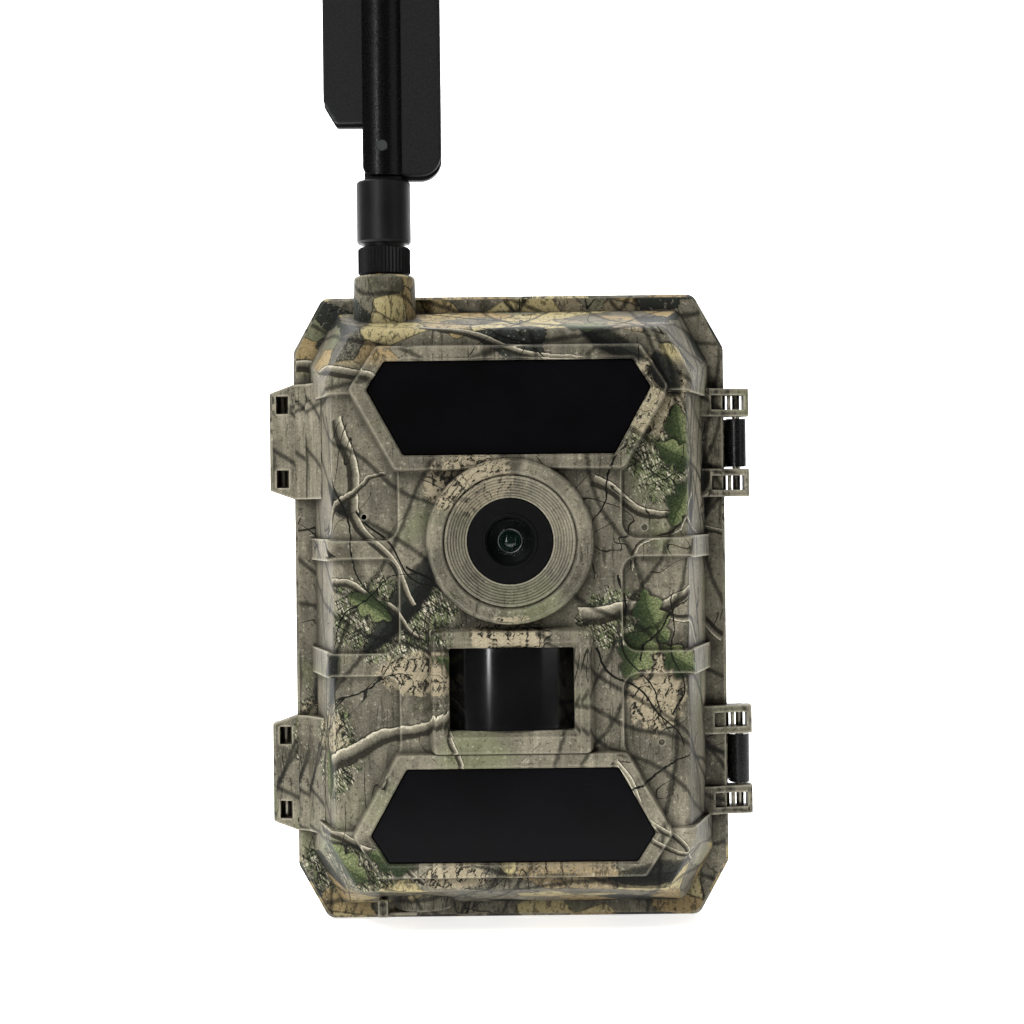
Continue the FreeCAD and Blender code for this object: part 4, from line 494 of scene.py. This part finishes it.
def polished(name, colour, tint, rough=0.06, **constants):
    """Gloss plastic: nearly even colour, faint dust and hairline scratches in the shine."""
    f = Finish(name, **constants)
    x, y, z = f.place()
    haze = f.noise(f.vector(x, y, z), 0.05, 3.0, 0.6)
    hair = f.noise(f.vector(x * 0.08, y, z * 2.5), 1.2, 2.0).ramp(0.66, 0.72)
    f.set(Base_Color=f.mix(haze.ramp(0.3, 0.7), colour, tint))
    f.set(Roughness=haze.line(0.3, 0.7, rough, rough * 1.8) + hair * 0.05)
    f.relief(haze, 0.02)
    return f


def metal(name, colour, tint, rough=0.3, brushed=(0.2, 4.0, 4.0), **constants):
    """Drawn or plated metal: fine streaks along one direction, tarnish in the colour."""
    f = Finish(name, Metallic=1.0, **constants)
    x, y, z = f.place()
    streak = f.noise(f.vector(x * brushed[0], y * brushed[1], z * brushed[2]), 1.0, 3.0, 0.6)
    stain = f.noise(f.vector(x, y, z), 0.35, 3.0, 0.6)
    f.set(Base_Color=f.mix(stain.ramp(0.38, 0.72), colour, tint))
    f.set(Roughness=streak.line(0.3, 0.7, rough * 0.8, rough * 1.3))
    f.relief(streak, 0.01, 0.15)
    return f


TRACK_PITCH, PAD_PITCH = 1.3, 2.54


def pad_spot(along):
    """1 on a pad's width and 0 between pads, along one direction."""
    return ((along / PAD_PITCH).fract() - 0.5).abs().ramp(0.12, 0.16, 1.0, 0.0)


def circuit_board():
    """Solder mask with copper tracks showing through, and tin pads on a grid."""
    f = Finish("circuit board", Roughness=0.35, Coat_Weight=0.2)
    x, y, z = f.place()
    bend = f.noise(f.vector((x / 9).floor(), (z / 11).floor()), 3.1, 0.0)
    track = ((x + z * bend.above(0.5)) / TRACK_PITCH).fract().ramp(0.30, 0.36)
    track = track * (z / TRACK_PITCH).fract().ramp(0.05, 0.1)
    zones = f.noise(f.vector(x, 0.0, z), 0.06, 1.0).above(0.5)
    chance = f.noise(f.vector((x / PAD_PITCH).floor(), (z / PAD_PITCH).floor()), 1.7, 0.0)
    pads = pad_spot(x) * pad_spot(z) * (1.0 - zones) * chance.above(0.56)
    mask = f.mix(track * zones, srgb(18, 84, 46), srgb(30, 112, 62))
    f.set(Base_Color=f.mix(pads, mask, srgb(190, 186, 170)), Metallic=pads * 0.9)
    f.relief(track * zones * 0.5 + pads, 0.05)
    return f


def cell_wrap():
    """Battery film: dark body, copper band at the button end, a pale line between, bare metal ends."""
    f = Finish("cell wrap", Roughness=0.3)
    x, y, z = f.place()
    *_, nz = f.normal()
    column, row = (x / CELL_PITCH + CELL_COLUMNS / 2).floor(), z.above(MIDDLE_Z)
    flip = ((column + row) / 2.0).fract() * 2.0
    height = z - 21.7 - row * 57.8
    along = height * (1.0 - flip) + (CELL_LENGTH - height + 2.4) * flip
    band = along.ramp(34.0, 34.3)
    line = (along - 34.1).abs().ramp(0.35, 0.45, 1.0, 0.0)
    scuff = f.noise(f.vector(x, y, z * 0.3), 0.8, 3.0)
    colour = f.mix(band, srgb(28, 30, 33), srgb(176, 108, 52))
    colour = f.mix(line, colour, srgb(214, 208, 196))
    ends = nz.abs().ramp(0.75, 0.85)
    colour = f.mix(ends, colour, srgb(196, 194, 188))
    f.set(Base_Color=f.mix(scuff * 0.25, colour, SOIL), Metallic=band * 0.6 * (1.0 - line) + ends * 0.4)
    f.set(Roughness=scuff.line(0.3, 0.7, 0.22, 0.38))
    f.relief(scuff, 0.02)
    return f


def lens_black():
    """Anodised black with fine turned threads about the lens axis."""
    f = Finish("lens black", Roughness=0.6, Specular_IOR_Level=0.07)
    x, y, z = f.place()
    radius = (x * x + (z - LENS_AXIS_Z) * (z - LENS_AXIS_Z)) ** 0.5
    threads = (radius * 2.2).fract()
    fine = f.noise(f.vector(x, y, z), 3.0, 2.0)
    f.set(Base_Color=f.mix(fine, srgb(9, 9, 10), srgb(20, 20, 21)))
    f.set(Roughness=fine.line(0.3, 0.7, 0.36, 0.55))
    inner = radius.ramp(5.2, 5.6, 1.0, 0.0)
    f.relief(threads * inner * 0.6 + fine * 0.2, 0.05, 0.15)
    return f


def coated_glass(name, colour, tint, alpha):
    """Lens glass with a thin coating whose tint changes with the angle of the glass; the tint is a painted
    coating reflection, strongest where the glass is seen edge-on.
    """
    f = Finish(name, Roughness=0.02, IOR=1.6, Alpha=alpha)
    # Painted reflection: the coating's tint is mixed into the colour as the glass turns edge-on to the view.
    edge = f.node("ShaderNodeLayerWeight", {}, {"Blend": 0.35}, "Facing")
    x, y, z = f.place()
    dust = f.noise(f.vector(x, y, z), 0.9, 3.0)
    f.set(Base_Color=f.mix(edge * 0.8 + dust * 0.2, colour, tint))
    f.set(Roughness=dust.line(0.4, 0.8, 0.015, 0.05))
    f.relief(dust, 0.004)
    return f


def antenna_skin():
    """Sand-textured wings beside a smooth, darker spine."""
    f = Finish("antenna blade", Specular_IOR_Level=0.2)
    x, y, z = f.place()
    sand = f.noise(f.vector(x, y, z), 2.2, 3.0, 0.75)
    spine = (x - ANTENNA_X).abs().ramp(ANTENNA_SPINE_HALF, ANTENNA_SPINE_HALF + 0.3, 1.0, 0.0)
    wing = f.mix(sand.ramp(0.35, 0.7), srgb(9, 10, 9), srgb(27, 29, 28))
    f.set(Base_Color=f.mix(spine, wing, srgb(8, 8, 9)))
    f.set(Roughness=sand.line(0.3, 0.7, 0.45, 0.6) - spine * 0.24)
    f.relief(sand * (1.0 - spine * 0.7), 0.06, 0.25)
    return f


camouflage().wear("front_cover", "port_plug")
moulded("black case", srgb(24, 24, 25), srgb(40, 40, 41)).wear(
    "back_housing", "tree_bracket", "inner_panel", "battery_tray"
)
moulded("latch black", srgb(12, 12, 13), srgb(24, 24, 25), 2.2, 0.02, (0.2, 0.32)).wear(
    "upper_latch", "lower_latch"
)
polished("infrared pane", srgb(9, 9, 10), srgb(12, 11, 14), 0.14, Specular_IOR_Level=0.06).wear(
    "upper_window", "lower_window"
)
polished("motion lens film", srgb(6, 6, 7), srgb(12, 12, 13), 0.08).wear("pir_lens")
moulded("seal rubber", srgb(40, 40, 42), srgb(62, 62, 64), 1.4, 0.02, (0.6, 0.8)).wear(
    "housing_gasket", "window_gaskets"
)
metal("pin steel", srgb(170, 165, 152), srgb(120, 112, 98), 0.3, (4.0, 4.0, 0.3)).wear(
    "hinge_pins", "latch_pins"
)
metal("blackened steel", srgb(60, 60, 62), srgb(96, 92, 86), 0.4).wear(
    "bracket_screws", "tray_screws", "panel_screws"
)
metal("brass", srgb(196, 158, 92), srgb(150, 112, 60), 0.3).wear(
    "tripod_insert", "power_pins", "power_pads", "antenna_jack"
)
metal("nickel plate", srgb(190, 186, 176), srgb(150, 146, 136), 0.25).wear(
    "cell_springs", "cell_contacts", "card_socket", "sim_socket", "pir_sensor"
)
cell_wrap().wear("battery_cells")
lens_black().wear("lens_bezel", "lens_barrel", "lens_holder")
# The green tint is a painted coating reflection.
coated_glass("front glass", srgb(8, 12, 12), srgb(40, 80, 66), 0.07).wear("lens_glass")
circuit_board().wear("upper_lamp_board", "lower_lamp_board", "main_board", "blade_radiator")
polished("lamp resin", srgb(24, 14, 28), srgb(60, 40, 70), 0.08).wear("upper_lamps", "lower_lamps")
moulded("chip black", srgb(22, 22, 24), srgb(46, 46, 50), 3.0, 0.02).wear(
    "board_parts", "image_sensor", "ir_cut_filter", "speaker", "dc_jack"
)
moulded("key rubber", srgb(70, 72, 76), srgb(96, 98, 102), 2.0, 0.02, (0.5, 0.65)).wear(
    "key_up", "key_down", "key_left", "key_right", "key_ok", "key_menu"
)
moulded("switch orange", srgb(186, 86, 26), srgb(214, 112, 44), 2.0, 0.02).wear("power_switch")
polished("screen", srgb(8, 9, 12), srgb(20, 24, 30), 0.1).wear("display_module")
# The blue tint is a painted coating reflection.
coated_glass("screen pane", srgb(14, 16, 20), srgb(30, 38, 50), 0.55).wear("display_glass")
moulded("card plastic", srgb(22, 34, 66), srgb(36, 52, 92), 2.4, 0.02, (0.35, 0.5)).wear("memory_card")
moulded("sim plastic", srgb(206, 204, 198), srgb(226, 224, 218), 2.4, 0.01, (0.35, 0.5)).wear("sim_card")
moulded("lead jacket", srgb(18, 18, 18), srgb(34, 34, 34), 1.2, 0.02).wear("coax_lead")
moulded("antenna satin", srgb(9, 9, 10), srgb(22, 22, 22), 3.0, 0.04, (0.34, 0.5), 0.25).wear(
    "antenna_collar"
)
moulded("nut black", srgb(6, 6, 7), srgb(14, 14, 14), 3.0, 0.02, (0.5, 0.6), 0.1).wear("antenna_nut")
moulded("pin cap", srgb(44, 46, 46), srgb(58, 60, 60), 3.0, 0.02, (0.5, 0.6), 0.1).wear("pivot_pin")
antenna_skin().wear("blade_front", "blade_back")


# ---- Fine pieces -----------------------------------------------------------------------------------------
def surface(name, points, finish, closed=(False, False)):
    """Mesh through a grid of points, rows by columns; closed joins the last row or column to the first."""
    rows, columns = points.shape[:2]
    r = np.arange(rows if closed[0] else rows - 1)[:, None]
    c = np.arange(columns if closed[1] else columns - 1)[None, :]
    r2, c2 = (r + 1) % rows, (c + 1) % columns
    corners = [r * columns + c, r * columns + c2, r2 * columns + c2, r2 * columns + c]
    quads = np.stack(corners, axis=-1).reshape(-1, 4)
    mesh = bpy.data.meshes.new(name)
    mesh.from_pydata(points.reshape(-1, 3).tolist(), [], quads.tolist())
    mesh.polygons.foreach_set("use_smooth", np.ones(len(mesh.polygons), bool))
    made = bpy.data.objects.new(name, mesh)
    bpy.context.collection.objects.link(made)
    mesh.materials.append(finish.material)
    return made


def turned(name, profile, finish):
    """Surface of revolution about the lens axis: each (radius, y) of the profile makes one ring of points."""
    turn = -np.linspace(0, 2 * math.pi, 96, endpoint=False)
    radius, y = (np.array(values)[:, None] for values in zip(*profile))
    x, z = radius * np.cos(turn), radius * np.sin(turn)
    grid = np.stack([x, np.broadcast_to(y, x.shape), z + LENS_AXIS_Z], axis=-1) * MM
    closed = profile[0] == profile[-1]
    return surface(name, grid[:-1] if closed else grid, finish, (closed, True))


def second_lens():
    """Lens in the iris: a cap of a sphere, y = apex + bend - sqrt(bend^2 - r^2) for r up to the rim."""
    bend, rim, apex = 3.6, 2.5, -43.45
    cap = [(r, apex + bend - math.sqrt(bend * bend - r * r)) for r in np.linspace(0.02, rim, 24)]
    # The green tint is a painted coating reflection.
    glass = coated_glass("second lens", srgb(3, 9, 8), srgb(40, 78, 66), 1.0)
    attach(turned("second_lens", cap, glass), "cover")


def retaining_ring():
    """Thin ring of round section about the second lens: (r - middle)^2 + (y - seat)^2 = wire^2."""
    middle, seat, wire = 2.72, -42.62, 0.13
    turn = np.linspace(0, 2 * math.pi, 16, endpoint=False).tolist()
    section = [(middle + wire * math.cos(b), seat + wire * math.sin(b)) for b in turn + turn[:1]]
    steel = metal("retaining ring", srgb(150, 152, 150), srgb(96, 98, 96), 0.35)
    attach(turned("retaining_ring", section, steel), "cover")


def coil_springs():
    """A cone spring in each battery pocket, under the flat end of its cell: round wire along the helix
    R(s) = 3.3 - 1.2 s, h(s) = s * (height - 2 wire), with 4.5 turns for s from 0 to 1."""
    steel = metal("spring wire", srgb(196, 192, 182), srgb(150, 146, 136), 0.22)
    wire, widest, taper, turns = 0.27, 3.3, 1.2, 4.5
    s, section = np.linspace(0, 1, 200)[None, :], np.linspace(0, 2 * math.pi, 10, endpoint=False)[:, None]
    angle, reach = s * turns * 2 * math.pi, widest - taper * s + wire * np.cos(section)
    for row, start in enumerate(CELL_ROWS):
        for column in range(CELL_COLUMNS):
            foot, way = start + CONTACT_T + wire, 1
            if (column + row) % 2:
                foot, way = start + POCKET_LENGTH - CONTACT_T - wire, -1
            rise = foot + way * s * (SPRING_LENGTH - 2 * wire) + wire * np.sin(section)
            x = (column - (CELL_COLUMNS - 1) / 2) * CELL_PITCH + reach * np.cos(angle)
            grid = np.stack([x, CELL_Y + reach * np.sin(angle), rise], axis=-1) * MM
            made = surface(f"cell_spring_{row * CELL_COLUMNS + column + 1}", grid, steel, (True, False))
            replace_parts(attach(made, "back"), "cell_springs")


# ---- Floor, lights and camera ----------------------------------------------------------------------------
def studio():
    """Pale sweep: grey foreground, white under the object, then a quarter circle of radius 0.5 m behind."""
    f = Finish("studio sweep", Roughness=0.9, Specular_IOR_Level=0.1, Emission_Strength=0.74)
    x, y, z = f.place()
    mottle = f.noise(f.vector(x, y, z), 0.004, 2.0)
    near = y.ramp(-330.0, -140.0)
    far = f.mix(mottle, srgb(243, 243, 243), srgb(249, 249, 249))
    f.set(Base_Color=f.mix(near, srgb(58, 58, 58), far))
    f.set(Emission_Color=f.mix(near, srgb(0, 0, 0), srgb(255, 255, 255)))
    turn = np.linspace(0, math.pi / 2, 25)
    y = np.concatenate([[-3.0, -1.0, 0.0], 1.2 + 0.5 * np.sin(turn), [1.7, 1.7]])[:, None]
    z = np.concatenate([[0.0, 0.0, 0.0], 0.5 - 0.5 * np.cos(turn), [1.5, 3.5]])[:, None]
    x = np.linspace(-4.0, 4.0, 9)[None, :]
    surface("studio_sweep", np.stack(np.broadcast_arrays(x, y, z), axis=-1), f)


def soft_light(name, at, aim, size, power):
    """Rectangular lamp at a place in metres, turned to shine towards aim."""
    lamp = bpy.data.lights.new(name, "AREA")
    lamp.shape, lamp.size, lamp.size_y, lamp.energy = "RECTANGLE", *size, power
    made = bpy.data.objects.new(name, lamp)
    bpy.context.collection.objects.link(made)
    made.location = at
    towards = np.array(aim) - np.array(at)
    towards = towards / np.linalg.norm(towards)
    yaw, pitch = math.atan2(towards[0], -towards[1]), math.acos(max(-1, min(1, -towards[2])))
    made.rotation_euler = (pitch, 0.0, math.pi + yaw)


DISTANCE = 0.480         # from the lens to the flange's front
VIEW_WIDTH = 0.2437      # width seen at that distance
EYE_Z = 0.0966
ROLL = math.radians(0.65)


def camera():
    """Level camera in front of the case, rolled a little."""
    lens = bpy.data.cameras.new("camera")
    lens.sensor_width = 36.0
    lens.lens = 36.0 * DISTANCE / VIEW_WIDTH
    made = bpy.data.objects.new("camera", lens)
    bpy.context.collection.objects.link(made)
    made.location = (0.0005, FLANGE_Y * MM - DISTANCE, EYE_Z)
    made.rotation_mode = "XYZ"
    made.rotation_euler = (math.pi / 2, ROLL, 0.0)
    bpy.context.scene.camera = made


def light_up():
    """Soft key from the upper left, a weak panel, a narrow strip, and a lamp that whitens the sweep."""
    world = bpy.data.worlds.new("studio")
    bpy.context.scene.world = world
    world.use_nodes = True
    colour, strength = world.node_tree.nodes["Background"].inputs[:2]
    colour.default_value, strength.default_value = (1, 1, 1, 1), 0.05
    middle = (0.0, -0.03, 0.08)
    soft_light("key", (-0.55, -0.75, 0.95), middle, (0.35, 0.35), 10.0)
    soft_light("right panel", (0.72, -0.62, 0.16), middle, (0.45, 0.7), 0.9)
    soft_light("left strip", (-0.40, -0.80, 0.10), middle, (0.045, 0.6), 2.6)
    soft_light("backdrop", (0.0, 0.45, 1.6), (0.0, 1.5, 0.3), (2.4, 0.4), 60.0)


second_lens()
retaining_ring()
coil_springs()
studio()
camera()
light_up()
bpy.context.scene.view_settings.view_transform = "Standard"
